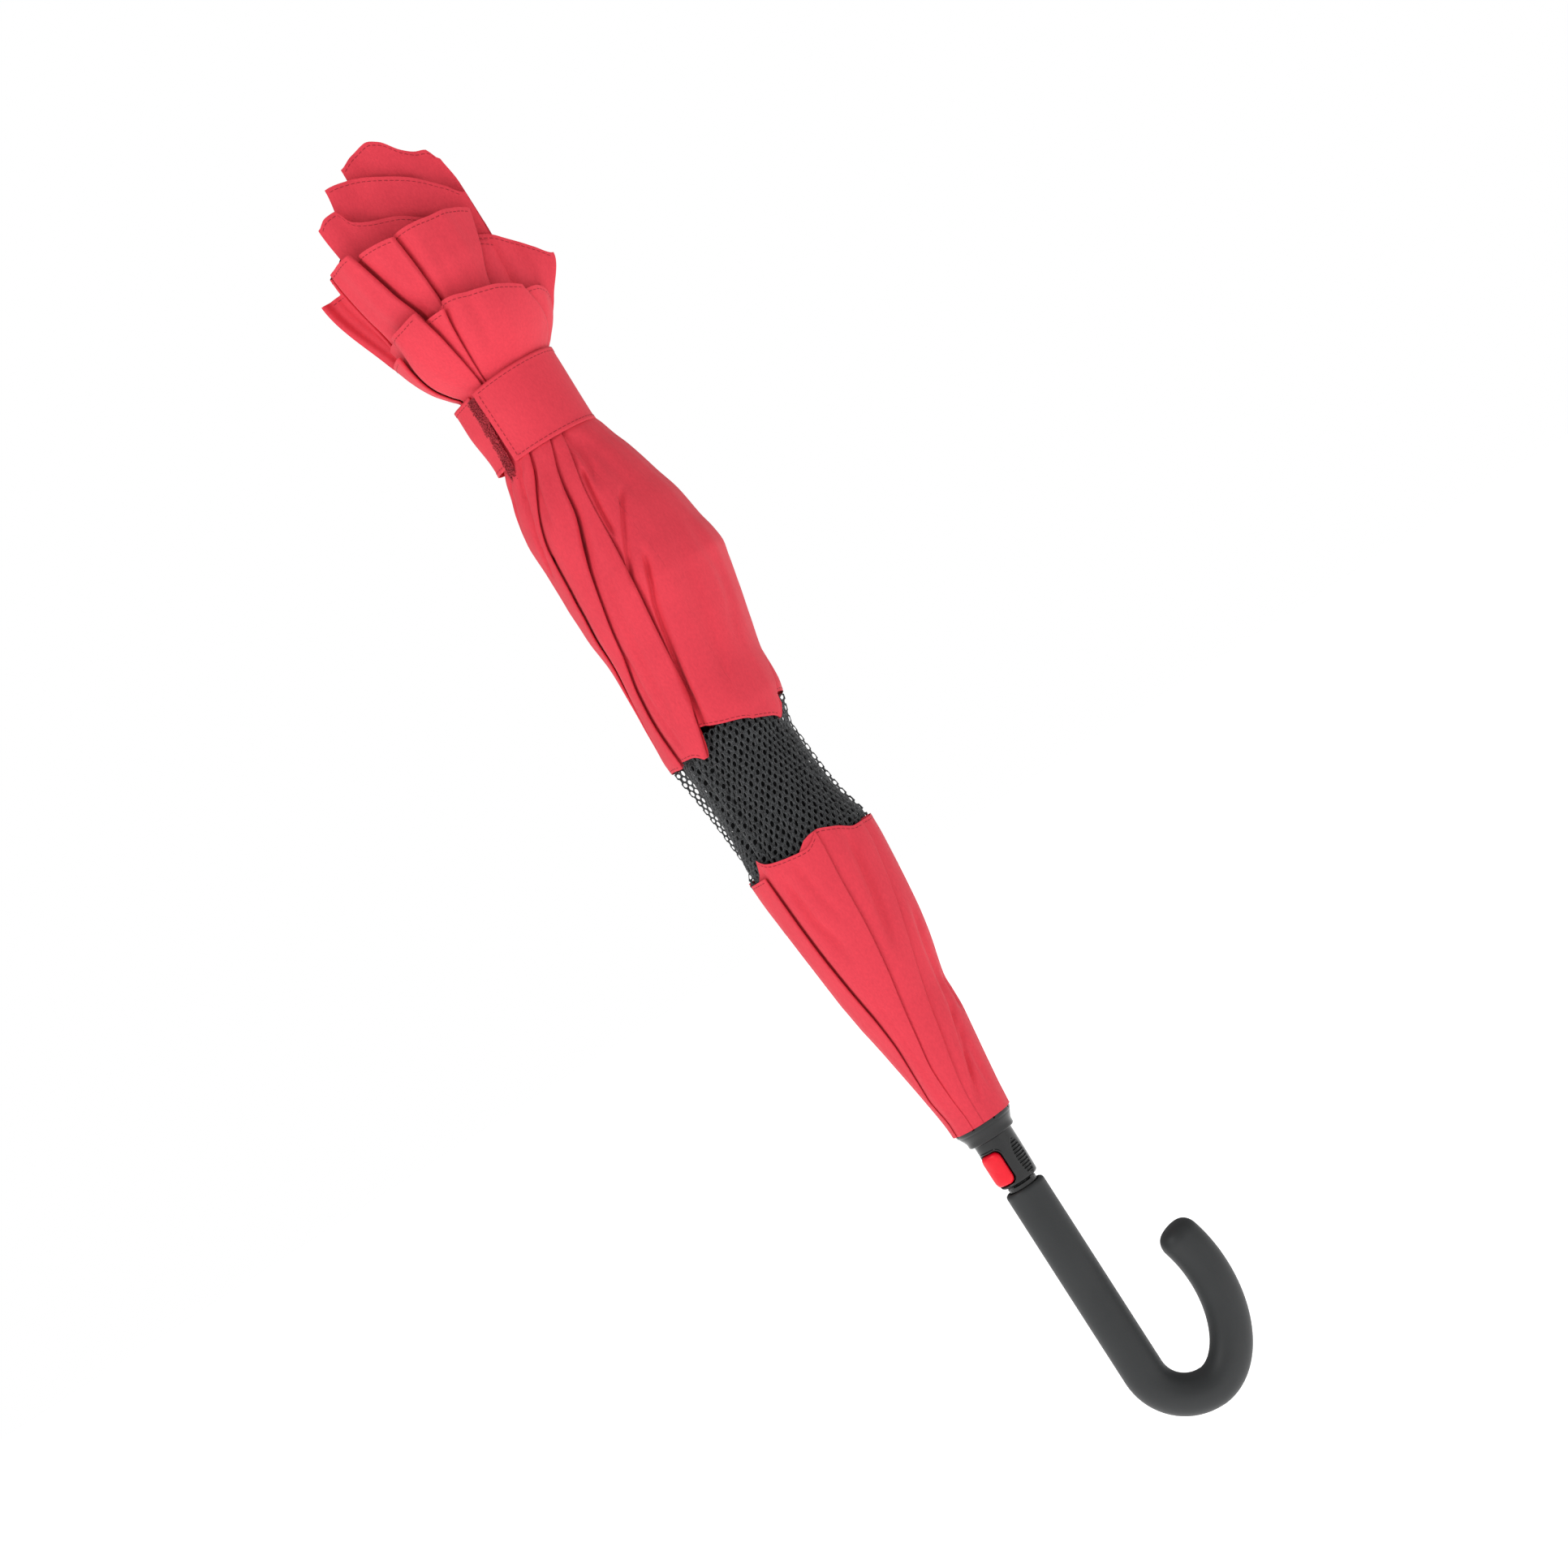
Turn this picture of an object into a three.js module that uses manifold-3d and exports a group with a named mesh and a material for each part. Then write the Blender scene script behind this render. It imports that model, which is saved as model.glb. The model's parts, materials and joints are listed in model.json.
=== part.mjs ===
// A stick umbrella that closes inside out, shown closed: crook handle below, rib tips above.
// Millimetres, +Z along the shaft towards the rib tips, origin at the middle of the grip on the shaft's axis.
import * as THREE from 'three';
import { mergeVertices } from 'three/addons/utils/BufferGeometryUtils.js';
import Module from 'manifold-3d';

const wasm = await Module();
wasm.setup();

// Driving dimensions
const GAP = 0.4;                  // clearance between neighbours
const RIB_COUNT = 8;
const SECTOR = 2 * Math.PI / RIB_COUNT;
const FIRST_RIB = SECTOR / 2;     // azimuth of rib 1, so that a panel's middle faces +X

const SHAFT = { radius: 5.5, bore: 4.6, bottom: -40, top: 600 };
const HOLE_RADIUS = SHAFT.radius + GAP;

const GRIP = { radius: 12, top: 56, bottom: -66.9, recessRadius: 9.2, recessFloor: 42.5 };
const CROOK = { bend: 27, hookX: 33.5, hookZ: 55, hookCentreZ: -39, hookEnd: THREE.MathUtils.degToRad(25) };
const SOCKET = { radius: 8.8, bottom: 43, top: 58.4 };

const RUNNER = { radius: 11.9, foot: 11.4, bottom: 59.6, top: 88.5 };
const RING = { bottom: 88.9, top: 102, waist: 14, lip: 17.4, slotFloor: 97, slotWidth: 2.6 };
const BUTTON = {
  azimuth: THREE.MathUtils.degToRad(-136), width: 17, height: 19.4, centreZ: 72, corner: 4.5,
  face: 13.4, back: 10.2, travel: 2,
};

const RING_HINGE = { r: 13, z: 100 };     // strut on runner ring
const KNEE = { r: 13, z: 347 };           // outer rib on strut
const LINK_EYE = { r: 7.5, z: 347 };      // top link beside the strut's ear
const NOTCH_HINGE = { r: 7.5, z: 587 };   // top link on top notch
const PIN_RADIUS = 0.6;
const EYE_HOLE = 0.95;

const STRUT = {
  halfWidth: 1.8, inner: 11.4, outer: 14.6, wall: 0.6, tongue: 0.95,
  footRadius: 1.9, cheekRadius: 1.6, earRadius: 1.5,
};
const RIB = { rod: 1.7, ferrule: 2.2, tongue: 0.6, knuckleRadius: 1.5, tipRadius: 2.4, tipZ: 728 };
const LINK = { near: 2.2, far: 3.8, halfDepth: 1.1, topEye: 1.9 };
const NOTCH = { radius: 10, bottom: 581, plate: 590, top: 596, slotNear: 1.85, slotFar: 4.15 };
const CAP = { radius: 10, bottom: 596.4, rim: 600, top: 612 };

const SLOT_WIDTH = 2.4;
const PLUNGER = { radius: 4.2, bottom: 69, top: 81, pinZ: 75, pinEnd: 9.5, pinRadius: 0.9, pinHole: 1.3 };
const RUNNER_TRAVEL = 329.7;
const COIL = { radius: 3.6, wire: 0.45, turns: 10, bottom: -38, top: 68 };

const FABRIC_BASE = 97;            // height of the cloth's lower edge
const PANEL_GAP = 0.2;             // half of the gap between two panels
const STRAP = { inner: 29.7, outer: 31.3, bottom: 544, top: 590, slit: 2 };
const RAIN = { inner: 9.8, outer: 10.9, bottom: 378, top: 576 };

// The closed bundle's outline: [height above the cloth's lower edge, radius]
const LOWER_OUTLINE = [[9, 18.6], [45, 24], [90, 30], [126, 35.4], [162, 38.6], [182, 39]];
const NET_OUTLINE = [[187, 35.8], [249.8, 34.8]];
const BELLY_OUTLINE = [[261, 39.6], [290, 40], [324, 43.5], [351, 46.7], [387, 43.8], [423, 36.9], [440, 32]];
const WAIST_OUTLINE = [[446.2, 29.3], [493.6, 29.3]];
const FLARE_OUTLINE = [[496, 38.6], [513, 47], [533, 56], [565, 57.5], [590, 53], [603, 46]];

const root = new THREE.Group();

const COLOURS = {
  cloth: [0xe64654, 0.85, 0], black: [0x343637, 0.6, 0], gloss: [0x141516, 0.3, 0],
  steel: [0xb4b7ba, 0.3, 1], rod: [0x1c1d1e, 0.45, 0], red: [0xff1937, 0.35, 0],
};

// Solids ---------------------------------------------------------------------------------------------------

function toSolid(geometry) {
  const bare = geometry.clone();
  bare.deleteAttribute('normal');
  bare.deleteAttribute('uv');
  const merged = mergeVertices(bare, 1e-4);
  const vertProperties = new Float32Array(merged.attributes.position.array);
  const triVerts = new Uint32Array(merged.index.array);
  return new wasm.Manifold(new wasm.Mesh({ numProp: 3, vertProperties, triVerts }));
}

function toGeometry(solid) {
  const mesh = solid.getMesh();
  const geometry = new THREE.BufferGeometry();
  geometry.setAttribute('position', new THREE.BufferAttribute(mesh.vertProperties, 3));
  geometry.setIndex(new THREE.BufferAttribute(mesh.triVerts, 1));
  return geometry;
}

function join(...geometries) {
  return toGeometry(geometries.map(toSolid).reduce((a, b) => a.add(b)));
}

function cut(geometry, ...tools) {
  return toGeometry(tools.map(toSolid).reduce((a, b) => a.subtract(b), toSolid(geometry)));
}

function common(a, b) {
  return toGeometry(toSolid(a).intersect(toSolid(b)));
}

// A full turn about the shaft's axis; the outline is a closed loop of [radius, height].
function turned(outline, segments) {
  const points = [...outline, outline[0]].map(([r, z]) => new THREE.Vector2(r, z));
  return new THREE.LatheGeometry(points, segments).rotateX(Math.PI / 2);
}

function ring(inner, outer, bottom, top, segments = 24) {
  return turned([[inner, bottom], [outer, bottom], [outer, top], [inner, top]], segments);
}

function rod(radius, bottom, top, sides = 24) {
  return new THREE.CylinderGeometry(radius, radius, top - bottom, sides)
    .rotateX(Math.PI / 2).translate(0, 0, (top + bottom) / 2);
}

function block(x0, x1, y0, y1, z0, z1) {
  return new THREE.BoxGeometry(x1 - x0, y1 - y0, z1 - z0)
    .translate((x0 + x1) / 2, (y0 + y1) / 2, (z0 + z1) / 2);
}

// A flat piece standing in a radial plane, from one sideways offset to another.
function plate(shape, near, far) {
  return new THREE.ExtrudeGeometry(shape, { depth: far - near, bevelEnabled: false, curveSegments: 3 })
    .rotateX(Math.PI / 2).translate(0, far, 0);
}

// A bar with round ends from a to b, with a hole at each place in holes.
function barShape(a, b, radius, holes = []) {
  const direction = Math.atan2(b.z - a.z, b.r - a.r);
  const shape = new THREE.Shape();
  shape.absarc(b.r, b.z, radius, direction - Math.PI / 2, direction + Math.PI / 2, false);
  shape.absarc(a.r, a.z, radius, direction + Math.PI / 2, direction + 3 * Math.PI / 2, false);
  shape.closePath();
  for (const hole of holes) {
    const path = new THREE.Path();
    path.absarc(hole.r, hole.z, EYE_HOLE, 0, 2 * Math.PI, true);
    shape.holes.push(path);
  }
  return shape;
}

// A pin across a radial plane.
function crossPin(place, near, far) {
  return new THREE.CylinderGeometry(PIN_RADIUS, PIN_RADIUS, far - near, 6)
    .translate(place.r, (near + far) / 2, place.z);
}

function add(name, geometry, look, azimuth = 0) {
  const [color, roughness, metalness] = COLOURS[look];
  const mesh = new THREE.Mesh(geometry, new THREE.MeshStandardMaterial({ color, roughness, metalness }));
  mesh.name = name;
  mesh.rotation.z = azimuth;
  root.add(mesh);
}

// Handle ---------------------------------------------------------------------------------------------------

// The tube's centre line: straight down, a quarter circle, then an elliptical hook.
function crookLine() {
  const points = [new THREE.Vector3(0, 0, GRIP.top)];
  for (let z = 40; z > GRIP.bottom; z -= 20) points.push(new THREE.Vector3(0, 0, z));
  const bendSteps = 6;
  for (let i = 0; i <= bendSteps; i++) {
    const a = Math.PI + i / bendSteps * Math.PI / 2;
    points.push(new THREE.Vector3(CROOK.bend * (1 + Math.cos(a)), 0, GRIP.bottom + CROOK.bend * Math.sin(a)));
  }
  const hookSteps = 9;
  for (let i = 1; i <= hookSteps; i++) {
    const a = -Math.PI / 2 + i / hookSteps * (CROOK.hookEnd + Math.PI / 2);
    const x = CROOK.bend + CROOK.hookX * Math.cos(a);
    points.push(new THREE.Vector3(x, 0, CROOK.hookCentreZ + CROOK.hookZ * Math.sin(a)));
  }
  return new THREE.CatmullRomCurve3(points, false, 'centripetal');
}

function circleShape(radius, sides) {
  const shape = new THREE.Shape();
  for (let i = 0; i < sides; i++) {
    const a = 2 * Math.PI * i / sides;
    if (i === 0) shape.moveTo(radius, 0);
    else shape.lineTo(radius * Math.cos(a), radius * Math.sin(a));
  }
  shape.closePath();
  return shape;
}

function addHandle() {
  const line = crookLine();
  const tube = new THREE.ExtrudeGeometry(circleShape(GRIP.radius, 16), {
    steps: 34, extrudePath: line, bevelEnabled: false,
  });
  const end = line.getPoint(1);
  const tip = new THREE.SphereGeometry(GRIP.radius - 0.05, 14, 8).translate(end.x, end.y, end.z);
  const recess = rod(GRIP.recessRadius, GRIP.recessFloor, GRIP.top + 5, 16);
  const hole = rod(HOLE_RADIUS, SHAFT.bottom - 1, GRIP.top, 12);
  add('handle_grip', cut(join(tube, tip), recess, hole), 'black');
  add('shaft_socket', ring(HOLE_RADIUS, SOCKET.radius, SOCKET.bottom, SOCKET.top), 'gloss');
}

// Shaft and drive ------------------------------------------------------------------------------------------

function addShaft() {
  const slot = block(0, SHAFT.radius + 2, -SLOT_WIDTH / 2, SLOT_WIDTH / 2,
    PLUNGER.pinZ - 2, PLUNGER.pinZ + RUNNER_TRAVEL + 2).rotateZ(BUTTON.azimuth + Math.PI);
  add('shaft_tube', cut(ring(SHAFT.bore, SHAFT.radius, SHAFT.bottom, SHAFT.top), slot), 'rod');

  const pin = new THREE.CylinderGeometry(PLUNGER.pinRadius, PLUNGER.pinRadius, PLUNGER.pinEnd, 8)
    .rotateZ(Math.PI / 2).translate(PLUNGER.pinEnd / 2, 0, PLUNGER.pinZ);
  const plunger = join(rod(PLUNGER.radius, PLUNGER.bottom, PLUNGER.top, 12), pin);
  add('drive_plunger', plunger, 'steel', BUTTON.azimuth + Math.PI);

  class Helix extends THREE.Curve {
    getPoint(t) {
      const a = 2 * Math.PI * COIL.turns * t;
      const z = COIL.bottom + t * (COIL.top - COIL.bottom);
      return new THREE.Vector3(COIL.radius * Math.cos(a), COIL.radius * Math.sin(a), z);
    }
  }
  const coil = new THREE.ExtrudeGeometry(circleShape(COIL.wire, 5), {
    steps: COIL.turns * 8, extrudePath: new Helix(), bevelEnabled: false,
  });
  add('drive_spring', coil, 'steel');
}

// Runner, ring and button ----------------------------------------------------------------------------------

// A rounded rectangle pushed along +X, centred on the button's height.
function buttonPrism(margin, from, to) {
  const w = BUTTON.width / 2 + margin;
  const h = BUTTON.height / 2 + margin;
  const c = BUTTON.corner;
  const shape = new THREE.Shape();
  shape.absarc(w - c, h - c, c, 0, Math.PI / 2, false);
  shape.absarc(-w + c, h - c, c, Math.PI / 2, Math.PI, false);
  shape.absarc(-w + c, -h + c, c, Math.PI, 3 * Math.PI / 2, false);
  shape.absarc(w - c, -h + c, c, 3 * Math.PI / 2, 2 * Math.PI, false);
  shape.closePath();
  return new THREE.ExtrudeGeometry(shape, { depth: to - from, bevelEnabled: false, curveSegments: 3 })
    .rotateX(Math.PI / 2).rotateZ(Math.PI / 2).translate(from, 0, BUTTON.centreZ);
}

function addRunner() {
  const { radius, foot, bottom, top } = RUNNER;
  const body = turned([
    [HOLE_RADIUS, bottom], [foot - 1.2, bottom], [foot, bottom + 1.4], [radius, top - 2], [radius, top],
    [HOLE_RADIUS, top],
  ], 32);
  const shift = -(BUTTON.travel + GAP + 0.2);
  const core = rod(BUTTON.back, bottom - 1, top + 1, 32).translate(shift, 0, 0);
  const pocket = cut(buttonPrism(GAP, 0, radius + 4), core).rotateZ(BUTTON.azimuth);
  const pinHole = new THREE.CylinderGeometry(PLUNGER.pinHole, PLUNGER.pinHole, PLUNGER.pinEnd + 0.5, 12)
    .rotateZ(Math.PI / 2).translate((PLUNGER.pinEnd + 0.5) / 2, 0, PLUNGER.pinZ)
    .rotateZ(BUTTON.azimuth + Math.PI);
  add('runner_body', cut(body, pocket, pinHole), 'gloss');

  const shell = ring(BUTTON.back, BUTTON.face, bottom, top, 32);
  add('push_button', common(shell, buttonPrism(0, 2, BUTTON.face + 2)), 'red', BUTTON.azimuth);
  addButtonSpring(shift);
  addRing();
}

// A bowed leaf between the pocket's floor and the button's back.
function addButtonSpring(shift) {
  const halfSpan = 4;
  const thickness = 0.4;
  const floor = shift + Math.sqrt(BUTTON.back ** 2 - halfSpan ** 2) + GAP;
  const crown = BUTTON.back - GAP - thickness;
  const leaf = new THREE.Shape();
  leaf.moveTo(floor, -halfSpan);
  leaf.quadraticCurveTo(2 * crown - floor, 0, floor, halfSpan);
  leaf.lineTo(floor + thickness, halfSpan);
  leaf.quadraticCurveTo(2 * crown - floor + thickness, 0, floor + thickness, -halfSpan);
  leaf.closePath();
  const geometry = new THREE.ExtrudeGeometry(leaf, { depth: 4, bevelEnabled: false, curveSegments: 8 })
    .translate(0, 0, BUTTON.centreZ - 2);
  add('button_spring', geometry, 'steel', BUTTON.azimuth);
}

function addRing() {
  const { bottom, top, waist, lip, slotFloor, slotWidth } = RING;
  let solid = turned([
    [HOLE_RADIUS, bottom], [waist - 1.2, bottom], [waist, bottom + 1], [waist, bottom + 3.5],
    [lip, top - 3.2], [lip, top - 0.9], [lip - 0.8, top], [HOLE_RADIUS, top],
  ], 32);
  const slots = [];
  const pins = [];
  for (let i = 0; i < RIB_COUNT; i++) {
    const azimuth = FIRST_RIB + i * SECTOR;
    slots.push(block(RING_HINGE.r - 2.8, lip + 3, -slotWidth / 2, slotWidth / 2, slotFloor, top + 2)
      .rotateZ(azimuth));
    pins.push(crossPin(RING_HINGE, -slotWidth / 2 - 0.5, slotWidth / 2 + 0.5).rotateZ(azimuth));
  }
  solid = join(cut(solid, ...slots), ...pins);
  add('rib_ring', solid, 'gloss');
}

// Frame: eight struts, outer ribs and top links ------------------------------------------------------------

function strutGeometry() {
  const { halfWidth, inner, outer, wall, tongue, footRadius, cheekRadius, earRadius } = STRUT;
  const section = new THREE.Shape([
    [inner, -halfWidth], [outer, -halfWidth], [outer, halfWidth], [inner, halfWidth],
    [inner, halfWidth - wall], [outer - wall, halfWidth - wall],
    [outer - wall, -halfWidth + wall], [inner, -halfWidth + wall],
  ].map(([r, t]) => new THREE.Vector2(r, t)));
  const channelBottom = RING_HINGE.z + 8;
  const channelTop = KNEE.z - 3.4;
  const depth = channelTop - channelBottom;
  const channel = new THREE.ExtrudeGeometry(section, { depth, bevelEnabled: false })
    .translate(0, 0, channelBottom);
  const foot = plate(barShape(RING_HINGE, { r: RING_HINGE.r, z: channelBottom + 4 }, footRadius, [RING_HINGE]),
    -tongue, tongue);
  const cheekShape = barShape({ r: KNEE.r, z: channelTop - 7 }, KNEE, cheekRadius);
  const cheeks = [plate(cheekShape, tongue, halfWidth), plate(cheekShape, -halfWidth, -tongue)];
  const ear = plate(barShape(LINK_EYE, KNEE, earRadius), tongue, halfWidth);
  return join(channel, foot, ...cheeks, ear, crossPin(KNEE, -halfWidth + 0.2, halfWidth - 0.2));
}

function outerRibGeometry() {
  const { rod: rodRadius, ferrule, tongue, knuckleRadius, tipRadius, tipZ } = RIB;
  const knuckle = plate(barShape(KNEE, { r: KNEE.r, z: KNEE.z + 9 }, knuckleRadius, [KNEE]), -tongue, tongue);
  const shell = rod(ferrule, KNEE.z + 5, KNEE.z + 25, 8).translate(KNEE.r, 0, 0);
  const bar = rod(rodRadius, KNEE.z + 20, tipZ, 6).translate(KNEE.r, 0, 0);
  const tip = new THREE.SphereGeometry(tipRadius, 8, 5).translate(KNEE.r, 0, tipZ);
  return join(knuckle, shell, bar, tip);
}

function topLinkGeometry() {
  const { near, far, halfDepth, topEye } = LINK;
  const bar = plate(barShape(LINK_EYE, NOTCH_HINGE, halfDepth), near, far);
  const eye = plate(barShape({ r: NOTCH_HINGE.r, z: NOTCH_HINGE.z - 3 }, NOTCH_HINGE, topEye), near, far);
  const hole = new THREE.CylinderGeometry(EYE_HOLE, EYE_HOLE, 6, 8)
    .translate(NOTCH_HINGE.r, (near + far) / 2, NOTCH_HINGE.z);
  return cut(join(bar, eye), hole);
}

function addNotch() {
  const { radius, bottom, plate: plateZ, top, slotNear, slotFar } = NOTCH;
  const slots = [];
  const pins = [];
  for (let i = 0; i < RIB_COUNT; i++) {
    const azimuth = FIRST_RIB + i * SECTOR;
    slots.push(block(NOTCH_HINGE.r - 2.4, radius + 2, slotNear, slotFar, bottom - 2, plateZ)
      .rotateZ(azimuth));
    pins.push(crossPin(NOTCH_HINGE, slotNear - 0.4, slotFar + 0.4).rotateZ(azimuth));
  }
  const solid = join(cut(ring(HOLE_RADIUS, radius, bottom, top, 24), ...slots), ...pins);
  add('top_notch', solid, 'gloss');

  const dome = turned([
    [HOLE_RADIUS, CAP.bottom], [CAP.radius, CAP.bottom], [CAP.radius, CAP.rim], [7.6, CAP.rim + 6.5],
    [0, CAP.top], [0, SHAFT.top + GAP], [HOLE_RADIUS, SHAFT.top + GAP],
  ], 24);
  add('top_cap', dome, 'gloss');
}

// Cloth ----------------------------------------------------------------------------------------------------

// The prism that keeps one panel's share of a full turn.
function panelWedge(bottom, top) {
  const reach = 90;
  const shape = new THREE.Shape();
  shape.moveTo(PANEL_GAP / Math.sin(SECTOR / 2), 0);
  shape.lineTo(reach, -(reach * Math.tan(SECTOR / 2) - PANEL_GAP / Math.cos(SECTOR / 2)));
  shape.lineTo(reach, reach * Math.tan(SECTOR / 2) - PANEL_GAP / Math.cos(SECTOR / 2));
  shape.closePath();
  return new THREE.ExtrudeGeometry(shape, { depth: top - bottom, bevelEnabled: false })
    .translate(0, 0, bottom);
}

function panelGeometry(outline, inner) {
  const outside = outline.map(([h, r]) => [r, FABRIC_BASE + h]);
  const bottom = outside[0][1];
  const top = outside[outside.length - 1][1];
  const shell = turned([[inner, bottom], ...outside, [inner, top]], 32);
  return common(shell, panelWedge(bottom - 1, top + 1));
}

function addCloth() {
  const clothInner = STRUT.outer + 0.6;
  const lower = panelGeometry([...LOWER_OUTLINE, ...NET_OUTLINE], clothInner);
  const upperOutline = [[250.2, 36], ...BELLY_OUTLINE, ...WAIST_OUTLINE, ...FLARE_OUTLINE];
  const upper = panelGeometry(upperOutline, clothInner);
  const rainOutline = [[RAIN.bottom - FABRIC_BASE, RAIN.outer], [RAIN.top - FABRIC_BASE, RAIN.outer]];
  const rain = panelGeometry(rainOutline, RAIN.inner);
  for (let i = 0; i < RIB_COUNT; i++) {
    const azimuth = FIRST_RIB + (i + 0.5) * SECTOR;
    add(`lower_lining_${i + 1}`, lower, 'cloth', azimuth);
    add(`upper_lining_${i + 1}`, upper, 'cloth', azimuth);
    add(`rain_panel_${i + 1}`, rain, 'cloth', azimuth);
  }
}

function addStrap() {
  const band = ring(STRAP.inner, STRAP.outer, STRAP.bottom, STRAP.top, 32);
  const slit = block(-STRAP.outer - 5, 0, -STRAP.slit / 2, STRAP.slit / 2, STRAP.bottom - 1, STRAP.top + 1);
  add('closing_strap', cut(band, slit.rotateZ(SECTOR)), 'cloth');
}

function addFrame() {
  const strut = strutGeometry();
  const outerRib = outerRibGeometry();
  const topLink = topLinkGeometry();
  for (let i = 0; i < RIB_COUNT; i++) {
    const azimuth = FIRST_RIB + i * SECTOR;
    add(`strut_${i + 1}`, strut, 'steel', azimuth);
    add(`outer_rib_${i + 1}`, outerRib, 'rod', azimuth);
    add(`top_link_${i + 1}`, topLink, 'steel', azimuth);
  }
}

addHandle();
addShaft();
addRunner();
addFrame();
addNotch();
addCloth();
addStrap();

export default root;
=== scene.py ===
# A closed inside-out stick umbrella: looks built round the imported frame.
# Cloth and hard parts are laid out in millimetres and turned into metres when their meshes are made.
import json
import math

import bpy
import numpy as np
from mathutils import Matrix, Vector


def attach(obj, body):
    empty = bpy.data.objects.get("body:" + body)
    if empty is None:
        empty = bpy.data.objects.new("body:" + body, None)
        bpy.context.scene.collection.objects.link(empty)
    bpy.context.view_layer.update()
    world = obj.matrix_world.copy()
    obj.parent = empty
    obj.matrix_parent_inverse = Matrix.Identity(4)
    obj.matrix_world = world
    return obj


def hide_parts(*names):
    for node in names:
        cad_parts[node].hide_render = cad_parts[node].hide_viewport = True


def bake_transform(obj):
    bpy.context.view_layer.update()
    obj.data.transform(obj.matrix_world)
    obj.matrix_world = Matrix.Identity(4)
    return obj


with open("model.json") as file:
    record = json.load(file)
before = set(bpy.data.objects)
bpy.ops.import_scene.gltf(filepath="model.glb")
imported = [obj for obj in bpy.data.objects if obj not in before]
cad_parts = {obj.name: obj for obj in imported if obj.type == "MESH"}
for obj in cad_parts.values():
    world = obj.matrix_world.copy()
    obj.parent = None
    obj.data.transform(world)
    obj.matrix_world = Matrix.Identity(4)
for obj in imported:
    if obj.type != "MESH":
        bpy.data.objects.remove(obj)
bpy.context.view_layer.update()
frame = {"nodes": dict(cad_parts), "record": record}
NODES = frame["nodes"]

MM = 0.001
BASE = 97.0            # height of the cloth's lower edge over the origin, mm
RIB_COUNT = 8
SECTOR = 45.0
FIRST_FACING = 112.5   # facing of rib 1; facing is the azimuth + 90 degrees, so 0 faces the camera

# ---- Small helpers ----


def track(pairs):
    """A smooth line through [position, value] pairs, flat outside them and without overshoot."""
    x = np.array([p[0] for p in pairs], float)
    y = np.array([p[1] for p in pairs], float)
    h, d = np.diff(x), np.diff(y) / np.diff(x)
    m = np.zeros_like(x)
    for i in range(1, len(x) - 1):
        if d[i - 1] * d[i] > 0:
            a, b = 2 * h[i] + h[i - 1], h[i] + 2 * h[i - 1]
            m[i] = (a + b) / (a / d[i - 1] + b / d[i])

    def at(s):
        s = np.clip(np.asarray(s, float), x[0], x[-1])
        i = np.clip(np.searchsorted(x, s, side="right") - 1, 0, len(x) - 2)
        t = (s - x[i]) / h[i]
        return ((1 + 2 * t) * (1 - t) ** 2 * y[i] + t * (1 - t) ** 2 * h[i] * m[i]
                + t * t * (3 - 2 * t) * y[i + 1] + t * t * (t - 1) * h[i] * m[i + 1])

    return at


def smooth(t):
    t = np.clip(t, 0, 1)
    return t * t * (3 - 2 * t)


def around(facing, radius, z):
    """Points from a facing in degrees, a radius and a height over the origin."""
    a = np.radians(facing)
    return np.stack(np.broadcast_arrays(radius * np.sin(a), -radius * np.cos(a), z), -1)


def place(facing, radius, height):
    """Points as from around, but with the height over the cloth's lower edge."""
    return around(facing, radius, height + BASE)


def make(name, points, faces, material, flat=False):
    """An object from points in mm."""
    mesh = bpy.data.meshes.new(name)
    points = np.asarray(points, float).reshape(-1, 3) * MM
    mesh.from_pydata(points.tolist(), [], [tuple(f) for f in faces])
    mesh.materials.append(material)
    mesh.polygons.foreach_set("use_smooth", [not flat] * len(mesh.polygons))
    mesh.validate()
    obj = bpy.data.objects.new(name, mesh)
    bpy.context.scene.collection.objects.link(obj)
    return obj


def frame_node(word, k):
    return f"{word}_{(k - 1) % RIB_COUNT + 1}"


def run_of(line):
    """Distance along a line at each of its points."""
    return np.r_[0, np.cumsum(np.linalg.norm(np.diff(line, axis=0), axis=1))]


def on_line(marks, run, line):
    """Points of a line at the given distances along it."""
    return np.stack([np.interp(marks, run, line[:, c]) for c in range(3)], -1)


def grid_faces(rows, columns, closed=False, first=0):
    i, j = np.meshgrid(np.arange(rows - 1), np.arange(columns if closed else columns - 1), indexing="ij")
    a = (first + i * columns + j).ravel()
    b = (first + i * columns + (j + 1) % columns).ravel()
    return np.stack([a, b, b + columns, a + columns], 1)


def thicken(obj, thickness):
    """Turns a sheet into a shell, with the thickness in mm added on its inner side."""
    shell = obj.modifiers.new("thick", "SOLIDIFY")
    shell.thickness, shell.offset = thickness * MM, -1
    graph = bpy.context.evaluated_depsgraph_get()
    mesh = bpy.data.meshes.new_from_object(obj.evaluated_get(graph))
    obj.modifiers.clear()
    obj.data = mesh


# ---- Materials ----


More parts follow.
